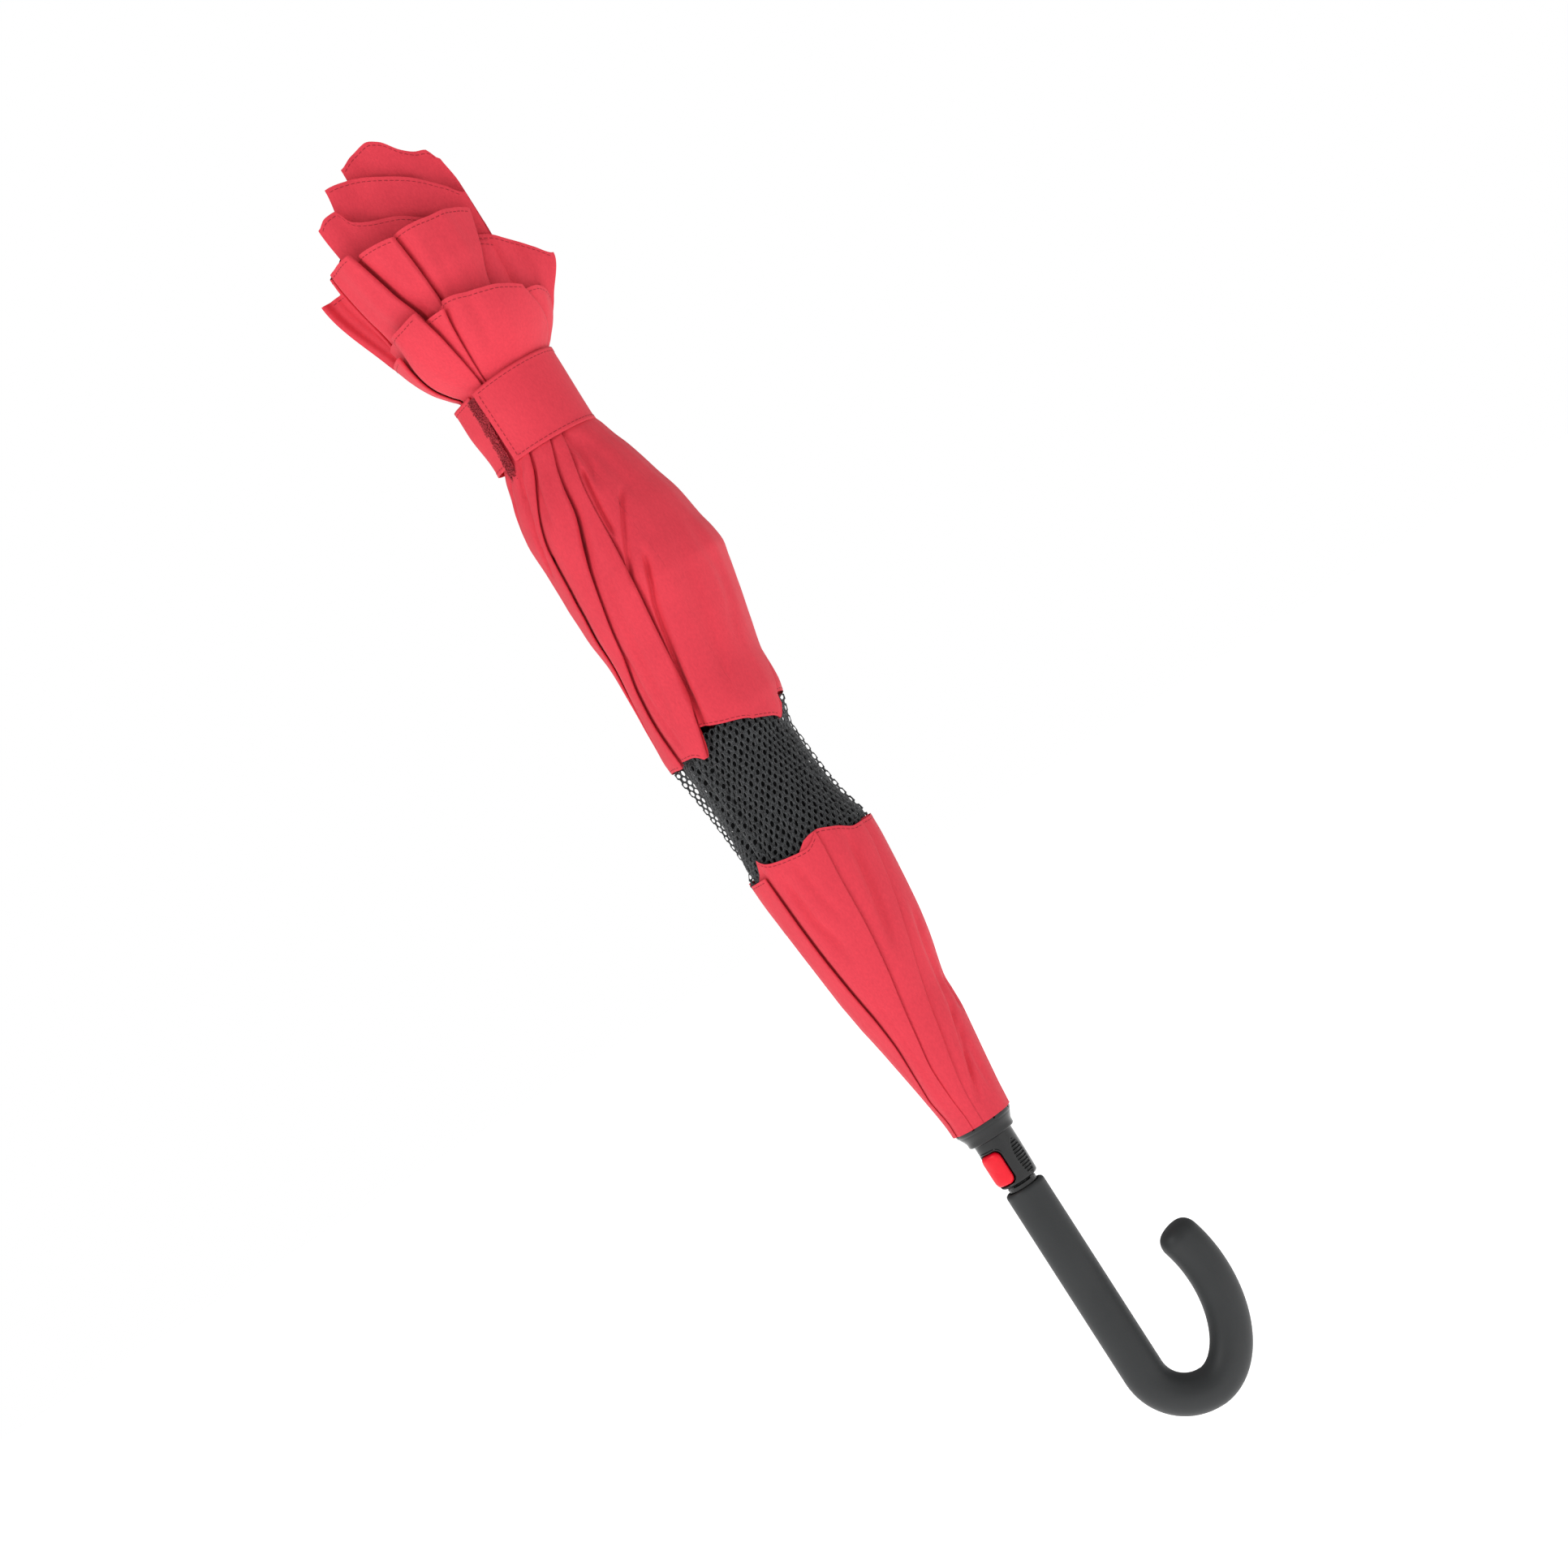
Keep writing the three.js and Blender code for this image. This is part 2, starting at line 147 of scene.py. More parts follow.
class Look:
    """A node material whose colour and bump vary."""

    def __init__(self, name, rough, **sockets):
        self.material = bpy.data.materials.new(name)
        self.material.use_nodes = True
        self.tree = self.material.node_tree
        self.shader = self.tree.nodes["Principled BSDF"]
        self.shader.inputs["Roughness"].default_value = rough
        for key, value in sockets.items():
            self.shader.inputs[key.replace("_", " ")].default_value = value
        self.place = self.node("ShaderNodeTexCoord").outputs["Object"]

    def node(self, kind, **values):
        n = self.tree.nodes.new(kind)
        for key, value in values.items():
            if key in n.inputs:
                n.inputs[key].default_value = value
            else:
                setattr(n, key, value)
        return n

    def link(self, a, b):
        self.tree.links.new(a, b)

    def stretched(self, along):
        """Coordinates that draw a texture out along the shaft."""
        m = self.node("ShaderNodeMapping", Scale=(1, 1, along))
        self.link(self.place, m.inputs["Vector"])
        return m.outputs["Vector"]

    def grain(self, size, detail, rough=0.55, vector=None):
        n = self.node("ShaderNodeTexNoise", Scale=1 / size, Detail=detail, Roughness=rough)
        self.link(vector or self.place, n.inputs["Vector"])
        return n.outputs["Fac"]

    def wave(self, pitch, axis):
        """Bands about a pitch apart: the texture itself turns 20 radians in each unit."""
        n = self.node("ShaderNodeTexWave", Scale=1 / pitch / 3.14159, Distortion=0.0)
        n.bands_direction = axis
        self.link(self.place, n.inputs["Vector"])
        return n.outputs["Fac"]

    def maths(self, how, a, b):
        n = self.node("ShaderNodeMath", operation=how)
        for socket, value in zip(n.inputs, (a, b)):
            if isinstance(value, (int, float)):
                socket.default_value = value
            else:
                self.link(value, socket)
        return n.outputs[0]

    def mixed(self, a, share_a, b, share_b):
        return self.maths("ADD", self.maths("MULTIPLY", a, share_a), self.maths("MULTIPLY", b, share_b))

    def colour(self, fac, low, high, start=0.3, end=0.7):
        n = self.node("ShaderNodeValToRGB")
        for stop, position, colour in zip(n.color_ramp.elements, (start, end), (low, high)):
            stop.position = position
            stop.color = (*colour, 1)
        self.link(fac, n.inputs["Fac"])
        self.link(n.outputs["Color"], self.shader.inputs["Base Color"])

    def bump(self, height, depth, strength):
        n = self.node("ShaderNodeBump", Strength=strength, Distance=depth)
        self.link(height, n.inputs["Height"])
        self.link(n.outputs["Normal"], self.shader.inputs["Normal"])


def cloth_look(name, low, high):
    look = Look(name, 0.66, Sheen_Weight=0.08, Sheen_Roughness=0.4, Specular_IOR_Level=0.22)
    slub = look.grain(0.0011, 6.0, 0.7, look.stretched(0.5))
    weave = look.mixed(look.wave(0.00042, "DIAGONAL"), 0.35, look.wave(0.00036, "Z"), 0.35)
    look.colour(look.mixed(slub, 0.7, look.grain(0.035, 2.0), 0.3), low, high, 0.35, 0.65)
    look.bump(look.maths("ADD", weave, slub), 0.00012, 0.55)
    return look.material


CLOTH = cloth_look("canopy_cloth", (0.66, 0.038, 0.062), (0.78, 0.049, 0.075))
STITCH = cloth_look("stitch_thread", (0.30, 0.014, 0.025), (0.38, 0.022, 0.036))
LOOP_PILE = cloth_look("loop_pile", (0.12, 0.004, 0.009), (0.56, 0.040, 0.058))


def fibre_look(look, grain, along, low, high, span, depth, strength):
    """One drawn-out grain gives both the colour and the bump."""
    fibre = look.grain(*grain, look.stretched(along))
    look.colour(fibre, low, high, *span)
    look.bump(fibre, depth, strength)
    return look.material


def rubber_look():
    look = Look("grip_rubber", 0.5, Specular_IOR_Level=0.32, Sheen_Weight=0.05, Sheen_Roughness=0.5)
    fine = look.grain(0.00035, 3.0, 0.6)
    look.colour(look.mixed(fine, 0.4, look.grain(0.03, 3.0, 0.5), 0.6),
                (0.026, 0.028, 0.029), (0.034, 0.036, 0.037))
    look.bump(fine, 0.00006, 0.5)
    return look.material


def gloss_look(name, low, high, rough, coat=0.0):
    look = Look(name, rough, Specular_IOR_Level=0.35, Coat_Weight=coat, Coat_Roughness=0.12)
    look.colour(look.grain(0.006, 3.0, 0.5), low, high)
    look.bump(look.grain(0.0009, 3.0, 0.5), 0.00003, 0.5)
    return look.material


NET = fibre_look(Look("net_cloth", 0.7, Sheen_Weight=0.35, Sheen_Roughness=0.4, Specular_IOR_Level=0.35),
                 (0.0005, 5.0, 0.75), 0.35, (0.006, 0.0065, 0.007), (0.150, 0.156, 0.162), (0.42, 0.74),
                 0.0003, 0.8)

# painted shade: a near-black layer under the knit stands in for the shade inside the band, seen through its
# holes
NET_SHADE_LAYER = fibre_look(Look("net_inside_painted_shade", 0.85, Specular_IOR_Level=0.2), (0.0012, 4.0, 0.6), 0.4,
                        (0.002, 0.002, 0.0025), (0.016, 0.017, 0.018), (0.35, 0.75), 0.0004, 0.6)
RUBBER = rubber_look()
GLOSS = gloss_look("black_plastic", (0.006, 0.0065, 0.007), (0.011, 0.0115, 0.012), 0.24, 0.15)
RED = gloss_look("red_plastic", (0.80, 0.001, 0.014), (0.88, 0.001, 0.020), 0.42)
PAINT = gloss_look("shaft_paint", (0.012, 0.013, 0.014), (0.022, 0.023, 0.025), 0.34, 0.2)
ROD = gloss_look("fibreglass", (0.010, 0.010, 0.011), (0.022, 0.022, 0.024), 0.42)
STEEL = fibre_look(Look("spring_steel", 0.3, Metallic=1.0), (0.0007, 4.0, 0.6), 0.06,
                   (0.36, 0.37, 0.38), (0.55, 0.56, 0.58), (), 0.00003, 0.6)
SLOT_LOOKS = {"grip_rubber": RUBBER, "black_plastic": GLOSS, "red_plastic": RED, "shaft_paint": PAINT,
              "rib_steel": PAINT, "fibreglass": ROD, "spring_steel": STEEL, "canopy_cloth": CLOTH}
for part in frame["record"]["subparts"]:
    mesh = NODES[part["node"]].data
    mesh.materials.clear()
    mesh.materials.append(SLOT_LOOKS[part["material_slot"]])

# ---- Camera, floor and light ----


AMBIENT = 0.47         # light from all round

REFLECTED = 0.16       # how bright the studio looks in glossy surfaces
WHITE = (1, 1, 1, 1)
FLOOR_Z, FLOOR_REACH = -0.125, 9
CAMERA_PLACE, CAMERA_LENS = (0.0083, -1.75, 0.315), 72.5
CAMERA_RIGHT, CAMERA_UP, CAMERA_BACK = (0.8415, 0, -0.540), (0.540, 0, 0.8415), (0, -1, 0)
LAMPS = (              # name, size, power, place and what it points at
    ("key", 0.7, 17, (-2.0, -1.25, 1.3), (0, 0, 0.35)),
    ("fill", 1.6, 5, (1.7, -1.6, 0.6), (0, 0, 0.3)),
    ("strip", 0.12, 0.8, (-0.75, -1.6, 0.35), (0, 0, 0.05)),
)


def add_camera():
    data = bpy.data.cameras.new("camera")
    data.lens = CAMERA_LENS
    data.sensor_width = 36
    camera = bpy.data.objects.new("camera", data)
    turn = Matrix((CAMERA_RIGHT, CAMERA_UP, CAMERA_BACK)).transposed()
    camera.matrix_world = Matrix.Translation(CAMERA_PLACE) @ turn.to_4x4()
    bpy.context.scene.collection.objects.link(camera)
    bpy.context.scene.camera = camera


def add_world():
    """A white studio with its own strengths for diffuse, glossy and camera rays."""
    world = bpy.data.worlds.new("studio")
    bpy.context.scene.world = world
    world.use_nodes = True
    tree = world.node_tree
    path = tree.nodes.new("ShaderNodeLightPath")
    shade = tree.nodes["Background"]
    shade.inputs["Color"].default_value = WHITE
    shade.inputs["Strength"].default_value = AMBIENT
    for ray, strength in (("Is Glossy Ray", REFLECTED), ("Is Camera Ray", 1.0)):
        other = tree.nodes.new("ShaderNodeBackground")
        mix = tree.nodes.new("ShaderNodeMixShader")
        other.inputs["Color"].default_value = WHITE
        other.inputs["Strength"].default_value = strength
        tree.links.new(path.outputs[ray], mix.inputs[0])
        tree.links.new(shade.outputs[0], mix.inputs[1])
        tree.links.new(other.outputs[0], mix.inputs[2])
        shade = mix
    tree.links.new(shade.outputs[0], tree.nodes["World Output"].inputs["Surface"])
    bpy.context.scene.view_settings.view_transform = "Standard"


def add_floor():
    look = Look("floor_paper", 0.9, Specular_IOR_Level=0.1)
    look.colour(look.grain(0.4, 2.0), (0.93, 0.93, 0.93), (0.96, 0.96, 0.96))
    look.shader.inputs["Emission Color"].default_value = WHITE
    look.shader.inputs["Emission Strength"].default_value = 0.8
    corners = [[FLOOR_REACH * x, FLOOR_REACH * y, FLOOR_Z] for x, y in ((-1, -1), (1, -1), (1, 1), (-1, 1))]
    make("floor", np.array(corners) / MM, [(0, 1, 2, 3)], look.material, flat=True)


def add_lamp(name, size, power, from_point, at):
    data = bpy.data.lights.new(name, "AREA")
    data.size, data.energy = size, power
    lamp = bpy.data.objects.new(name, data)
    lamp.location = from_point
    lamp.rotation_euler = (Vector(at) - Vector(from_point)).to_track_quat("-Z", "Y").to_euler()
    bpy.context.scene.collection.objects.link(lamp)


add_camera()
add_world()
add_floor()
for lamp in LAMPS:
    add_lamp(*lamp)

# ---- Cloth tube: eight gores between the ribs, each rib with a knife pleat folded over to the right ----


def rib_facing(k):
    return FIRST_FACING + SECTOR * (k - 1)


def facing_of(x, radius, shift):
    """The facing, -90 to 90, at which the outline radius + shift * sin reaches the sideways place x."""
    q = x / radius
    for _ in range(12):
        q = np.clip(x / (radius + shift * q), -1, 1)
    return np.degrees(np.arcsin(q))


RIPPLE_SEED = 5
_draw = np.random.default_rng(RIPPLE_SEED)


def draw_ripple(waves):
    """One ripple: how often it goes round, two phases, how fast it drifts and its size."""
    return (waves, _draw.uniform(0, 2 * math.pi), _draw.uniform(0, 2 * math.pi),
            _draw.uniform(30, 90), _draw.uniform(0.5, 1))


RIPPLES = [draw_ripple(waves) for waves in (5, 7, 9, 12, 15, 19, 24, 31)]


def ripples(facing, s):
    """Long soft wrinkles that run with the shaft; about -1 to 1."""
    a = np.radians(facing)
    total = 0
    for n, phase, drift, reach, size in RIPPLES:
        total = total + size * np.sin(n * a + phase + 1.6 * np.sin(s / reach + drift)) * (5 / n) ** 0.55
    return total / 3.2


class Crease:
    """A line on the surface where it dips by a depth, with a width in mm on each side.

    The line gives the sideways place seen from the front for each height, and the crease fades
    out over a length at both ends.
    """

    def __init__(self, line, depth, left, right, fade):
        self.start, self.end, self.line = line[0][0], line[-1][0], track(line)
        self.depth, self.left, self.right, self.fade = depth, left, right, fade

    def at(self, facing, s, radius, shift):
        away = (facing - facing_of(self.line(s), radius, shift) + 180) % 360 - 180
        d = np.radians(away) * radius
        shape = np.exp(-(d / np.where(d < 0, self.left, self.right)) ** 2)
        strength = smooth((s - self.start) / self.fade) * smooth((self.end - s) / self.fade)
        return -self.depth * shape * strength


class Tube:
    """A pleated tube of cloth, whose outline is given by radius and shift.

    folds says for each rib where the pleat's edge lies, how deep the step under it is and over how
    many degrees the next gore rises again.
    """

    hidden, shown, back = 5, 34, 6

    def __init__(self, radius, shift, folds, creases, ripple, dive=4.0, least=15.2, lean=None):
        self.radius, self.shift, self.folds, self.creases = radius, shift, folds, creases
        self.ripple, self.dive, self.least, self.lean = ripple, dive, least, lean

    def surface(self, facing, s):
        radius, shift = self.radius(s), self.shift(s)
        r = radius + shift * np.sin(np.radians(facing)) + self.ripple(s) * ripples(facing, s)
        for crease in self.creases:
            r = r + crease.at(facing, s, radius, shift)
        if self.lean:
            r = r * self.lean(facing, s)
        return r

    def fold(self, k, s):
        """Facing of the pleat's edge, step and rise for the fold at rib k (any whole number)."""
        turns, index = divmod(k - 1, RIB_COUNT)
        edge, step, rise = self.folds[index](s, self.radius(s), self.shift(s))
        return edge + 360 * turns + 0 * s, step + 0 * s, rise

    def outer(self, k, facing, s):
        """Radius of gore k's outer layer, pressed down under the pleats that lie over it."""
        r = self.surface(facing, s)
        for j in (k, k - 1, k - 2):
            edge, step, rise = self.fold(j, s)
            r = r - step * (1 - np.clip((facing - edge) / rise, 0, 1)) ** 1.7
        return r

    def gore(self, k, s):
        """Facings and radii across gore k; s holds the height of every row and column."""
        a, b = rib_facing(k), rib_facing(k) + SECTOR
        first, last = 1 + self.hidden, 1 + self.hidden + self.shown
        left, _, _ = self.fold(k, s)
        right, step, _ = self.fold(k + 1, s)
        begin = np.maximum(left, a + 1)
        facing, radius = np.empty_like(s), np.empty_like(s)
        facing[:, 0], facing[:, -1] = a, b
        share = np.linspace(0, 1, self.hidden + 1)[1:]
        facing[:, 1:first] = a + (begin[:, 1:first] - a) * share
        t = np.linspace(0, 1, self.shown + 1)[1:]
        t = 0.5 * t + 0.25 * (1 - np.cos(math.pi * t))
        facing[:, first:last] = begin[:, first:last] + (right - begin)[:, first:last] * t
        radius[:, 1:last] = self.outer(k, facing[:, 1:last], s[:, 1:last])
        tip = slice(last, last + 1)
        facing[:, tip] = right[:, tip] + np.degrees(0.22 * step[:, tip] / self.radius(s[:, tip]))
        radius[:, tip] = self.outer(k, right[:, tip], s[:, tip]) - 0.25 * step[:, tip]
        under = slice(last + 1, last + 1 + self.back)
        t = np.linspace(0, 1, self.back + 1)[:-1]
        facing[:, under] = right[:, under] + (b - right[:, under]) * t
        over = smooth((right[:, under] - b) / 4)
        folded = self.outer(k, facing[:, under], s[:, under]) - 0.5 * step[:, under]
        flat = self.outer(k + 1, facing[:, under], s[:, under])
        radius[:, under] = over * folded + (1 - over) * flat
        radius[:, :1] = self.root(k, s[:, :1])
        radius[:, -1:] = self.root(k + 1, s[:, -1:])
        return facing, np.maximum(radius, self.least)

    def root(self, k, s):
        edge, _, _ = self.fold(k, s)
        rib = rib_facing(k)
        depth = (self.dive(s) if callable(self.dive) else self.dive) * smooth((edge - rib) / 8)
        return self.outer(k, rib + 0 * s, s) - depth

    def columns(self):
        return self.hidden + self.shown + self.back + 3


def edge_by_x(line, step, rise):
    """A pleat edge given by its sideways place seen from the front."""
    line, step = track(line), track(step)
    return lambda s, radius, shift: (360 + facing_of(line(s), radius, shift), step(s), rise)


def edge_by_facing(line, step, rise):
    line, step = track(line), track(step)
    return lambda s, radius, shift: (line(s), step(s), rise)


def add_gore(tube, name, k, low, high, rows, hold, material):
    """One gore from the height low(column share) to high(column share)."""
    columns = tube.columns()
    share = np.linspace(0, 1, columns)
    lo, hi = low(share), high(share)
    heights = lo + (hi - lo) * np.linspace(0, 1, rows)[:, None]
    points = place(*tube.gore(k, heights), heights)
    obj = make(name, points, grid_faces(rows, columns), material)
    bend(obj, k)
    ribs = [frame_node(hold[0], k), frame_node(hold[0], k + 1)]
    return obj, points


def bend(obj, k):
    """Bakes the piece's placing into its mesh."""
    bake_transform(obj)


def const(value):
    return lambda share: value + 0 * share


DASH = 2.1             # length of a stitch, mm
SEAM_COLUMNS = range(5, 40)
HUMP = np.array([0.0, 1, 1, 0])[:, None] * 0.12    # how a stitch rises between its ends


def dash_marks(reach, start, pitch):
    """Four distances along each stitch that fits in the reach."""
    while start + DASH < reach:
        yield np.linspace(start, start + DASH, 4)
        start += pitch


def add_dash(verts, faces, a, b):
    """Adds the strip between two rows of four points."""
    first = len(verts)
    verts.extend(a.tolist() + b.tolist())
    faces.extend([(first + i, first + i + 1, first + i + 5, first + i + 4) for i in range(3)])


def stitches(name, points, k, away, columns=SEAM_COLUMNS, from_top=True):
    """A dashed line of thread a little way from a hem, on the outer face of a grid of points."""
    rows = points[::-1] if from_top else points
    line, up = [], []
    for j in columns:
        column = rows[:, j]
        steps = run_of(column)
        line.append(on_line(away, steps, column))
        up.append(on_line(away + 0.4, steps, column))
    line, up = np.array(line), np.array(up)
    run = run_of(line)
    verts, faces = [], []
    for marks in dash_marks(run[-1], 0.4, DASH + 1.0):
        a, b = on_line(marks, run, line), on_line(marks, run, up)
        normal = np.cross(np.gradient(a, axis=0), b - a)
        normal /= np.maximum(np.linalg.norm(normal, axis=1, keepdims=True), 1e-6)
        if np.mean(np.sum(normal[:, :2] * a[:, :2], 1)) < 0:
            normal = -normal
        lift = normal * (HUMP + 0.04)
        add_dash(verts, faces, a + lift, b + lift)
    if verts:
        bend(make(name, verts, faces, STITCH), k)


# ---- Lower lining ----

LOWER_RADIUS = track([
    [2, 18.6], [9, 19], [27, 21.1], [45, 23.6], [63, 26.1], [72, 27], [81, 27.9], [90, 29.5], [99, 31.3],
    [117, 34], [135, 36], [153, 37.6], [171, 38.9], [192, 39.3]])

LOWER_SHIFT = track([
    [2, -0.3], [9, -0.1], [60, -0.3], [72, -1], [81, -1.7], [92, -1.2], [108, -0.1], [126, 0.6], [192, 1]])

BACK_STEP = [[9, 0.8], [60, 2], [190, 2.6]]
LOWER_FOLDS = [
    edge_by_facing([[9, 120], [190, 127]], BACK_STEP, 16),
    edge_by_facing([[9, 165], [190, 176]], BACK_STEP, 18),
    edge_by_facing([[9, 210], [190, 222]], BACK_STEP, 16),
    edge_by_facing([[9, 256], [190, 268]], BACK_STEP, 16),
    edge_by_x(
        [
            [9, -17], [30, -19.4], [59, -18.9], [76, -20.1], [104, -24.1], [132, -27.1], [160, -28.6],
            [190, -29.2]], [[9, 0.8], [40, 1.3], [76, 2.6], [110, 3.4], [160, 3.2], [190, 2.4]], 15),
    edge_by_x(
        [
            [9, -6.9], [22, -8], [40, -8.6], [64, -5.6], [84, -2.5], [103, 0.9], [134, 4.7], [155, 6],
            [190, 8.6]], [[9, 0.5], [40, 1.1], [84, 1.6], [120, 1.8], [190, 1.2]], 14),
    edge_by_x(
        [
            [9, 0], [21, 0.4], [39, 2.9], [56, 6.6], [74, 10.3], [90, 14.3], [109, 19.7], [130, 25.6],
            [151, 30.1], [171, 33.2], [190, 33.6]],
        [[9, 0.4], [40, 1.2], [90, 1.5], [130, 1.8], [190, 1.4]], 14),
    edge_by_facing([[9, 434], [190, 443]], [[9, 0.8], [60, 1.6], [190, 2]], 14),
]

LOWER_CREASES = [Crease(*row) for row in (
    ([[112, -12.5], [131, -14.4], [149, -18.8], [183, -20.3]], 2.5, 3.6, 2.2, 22),
    ([[104, 11], [132, 15.6], [148, 18.8], [186, 23]], 2.7, 2.2, 3.8, 24),
    ([[132, -4], [160, -8], [188, -10.5]], 1.5, 3, 2.6, 20),
    ([[10, 4.5], [30, 9.5], [52, 15.6], [72, 21]], 1.7, 1.2, 2.4, 12),
    ([[22, 8], [36, 12], [58, 19]], 1.4, 1, 1.6, 10),
    ([[58, 24], [70, 25.2], [86, 25.4]], 1.5, 2.5, 4, 8),
    ([[12, -12.5], [60, -12], [100, -14]], 0.8, 2, 2.8, 16),
    ([[12, 14.5], [50, 17.5], [96, 25], [130, 31.5]], 1.4, 2.2, 3, 18),
)]
LOWER = Tube(LOWER_RADIUS, LOWER_SHIFT, LOWER_FOLDS, LOWER_CREASES,
             ripple=track([[9, 0.25], [60, 0.35], [190, 0.45]]), dive=3.0, least=15.3)
LOWER_TOPS = {
    1: [[0, 180], [1, 181]],
    2: [[0, 181], [1, 180]],
    3: [[0, 180], [1, 182]],
    4: [[0, 182], [0.2, 180], [1, 180]],
    5: [
        [0, 180], [0.07, 184], [0.11, 191], [0.2, 188.8], [0.28, 186.4], [0.44, 183.7], [0.63, 182],
        [0.78, 186], [0.85, 188], [0.9, 187.5], [0.97, 180], [1, 180]],
    6: [
        [0, 180], [0.05, 180], [0.11, 187.5], [0.14, 188], [0.4, 184], [0.62, 178.5], [0.86, 178],
        [1, 178.5]],
    7: [[0, 178.5], [0.5, 178], [1, 179]],
    8: [[0, 179], [0.5, 178], [1, 180]],
}

LOWER_HOLD = ("strut", "lower_lining", 15.3)

for k in range(1, RIB_COUNT + 1):
    top = track(LOWER_TOPS[k])
    gore, grid = add_gore(LOWER, f"lining_low_{k}", k, const(2.3), top, 110, LOWER_HOLD, CLOTH)
    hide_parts(f"lower_lining_{k}")
    stitches(f"lining_low_stitch_{k}", grid, k, 1.6)

# ---- Upper lining ----

UPPER_RADIUS = track([
    [245, 36], [256, 38], [270, 39.5], [288, 39.5], [306, 41], [324, 43], [342, 45.8], [351, 46.7],
    [360, 46.3], [369, 45.2], [387, 43.7], [405, 41.2], [423, 37.1], [432, 34], [441, 31.4], [448, 29],
    [470, 28.4], [491, 29], [496, 33], [504, 39.5], [513, 44.5], [522, 48], [535, 51], [552, 53]])

UPPER_SHIFT = track([
    [245, -4.3], [261, -3.2], [270, -1.9], [288, -0.8], [306, 1.7], [324, 4.2], [342, 5.5], [351, 6.4],
    [369, 5.1], [387, 4], [405, 1.5], [423, 0.6], [441, 0.1], [490, 0], [520, 0.5], [552, -1.5]])

UPPER_BACK_STEP = [[245, 2.5], [430, 3], [470, 1.2], [552, 4]]
UPPER_FOLDS = [
    edge_by_facing([[245, 126], [440, 134], [552, 128]], UPPER_BACK_STEP, 18),
    edge_by_facing([[245, 172], [440, 182], [552, 172]], UPPER_BACK_STEP, 18),
    edge_by_facing([[245, 216], [440, 232], [552, 218]], UPPER_BACK_STEP, 18),
    edge_by_facing(
        [
            [245, 262], [290, 270], [323, 285], [356, 300], [392, 306], [407, 313], [424, 325], [450, 337],
            [480, 290], [496, 280], [535, 298], [552, 299]],
        [[245, 2.6], [320, 2.8], [430, 2.6], [470, 1.2], [500, 3], [552, 6]], 14),
    edge_by_x(
        [
            [245, -34], [256, -34.6], [280, -35.5], [302, -33.9], [317, -30.9], [340, -26.5], [365, -20.9],
            [384, -16.3], [404, -9.3], [416, -7.1], [426, -4.5], [451, 2.6], [478, -12], [494, -13.8],
            [520, -18.5], [547, -24.4]],
        [
            [245, 2.8], [300, 3], [350, 3.2], [370, 4.2], [388, 7.6], [408, 6], [432, 2.6], [470, 1.2],
            [500, 3], [552, 6]], 15),
    edge_by_x(
        [
            [245, -23], [256, -19.8], [270, -15.7], [287, -10.9], [300, -9], [330, -5.5], [357, -2.1],
            [382, 0.6], [408, 2.9], [450, 9.4], [478, -6], [494, -11.5], [520, -10.5], [541, -7.4],
            [552, -6]],
        [
            [245, 4.2], [290, 5.4], [345, 6.2], [372, 4.2], [408, 1.8], [445, 2.8], [470, 1.2], [500, 2.5],
            [552, 6]], 11),
    edge_by_facing(
        [[245, 381.5], [440, 381.5], [490, 438], [526, 406], [552, 404]],
        [[245, 0], [455, 0], [480, 1.2], [500, 2.5], [552, 4.5]], 16),
    edge_by_facing(
        [[245, 410], [249, 413], [262, 424], [284, 441], [300, 449], [440, 458], [552, 462]],
        [[245, 2.2], [300, 2], [430, 2.6], [470, 1.2], [552, 5]], 14),
]
UPPER_CREASES = [Crease(*row) for row in (
    # the narrow ridge beside the middle pleat and the crease that ends it
    ([[256, -12.5], [287, -9.6], [311, -4.5], [338, 2.3], [350, 6.9], [370, 12.8]], 4.4, 1.3, 2.8, 16),
    ([[352, -2.5], [366, 3], [379, 9.1], [392, 15.5], [405, 21.7]], 2.9, 1.2, 3.2, 10),
    # folds fanning out from the strap
    ([[380, -37.5], [402, -34.1], [414, -30.8], [432, -25.4], [450, -19.4]], 3.4, 1, 2, 12),
    ([[400, -22], [424, -18], [449, -10.5]], 2, 3, 1.2, 14),
    ([[378, 4], [392, 4.6], [408, 6.4], [424, 8.2]], 3, 1, 1.8, 8),
    ([[404, 11.5], [426, 13.5], [449, 11]], 3.4, 2.4, 5, 16),
    ([[412, -38], [430, -33], [449, -27]], 2.2, 1, 1.8, 10),
    ([[418, -30], [434, -24], [449, -15.5]], 1.6, 1.6, 1, 10),
    ([[384, 27], [420, 22.5], [449, 16.5]], 1.9, 5, 4, 24),
    ([[272, 12], [300, 18], [336, 26], [372, 32]], 2, 5, 4, 26),
    ([[292, 31], [340, 42], [375, 42]], 1.4, 4, 5, 22),
    ([[268, -26], [300, -22], [345, -16.5], [380, -9]], 1.7, 4, 2.4, 24),
    ([[256, -28.5], [290, -30], [330, -29]], 1.5, 1.6, 2.6, 16),
    # soft channels in the flare's wide front leaf
    ([[497, 3], [520, 6], [552, 9]], 1.7, 4, 4, 12),
)]
UPPER = Tube(UPPER_RADIUS, UPPER_SHIFT, UPPER_FOLDS, UPPER_CREASES,
             ripple=track([[245, 0.35], [300, 0.5], [430, 0.7], [470, 0.4], [500, 0.7], [552, 1]]),
             dive=3.5, least=19)
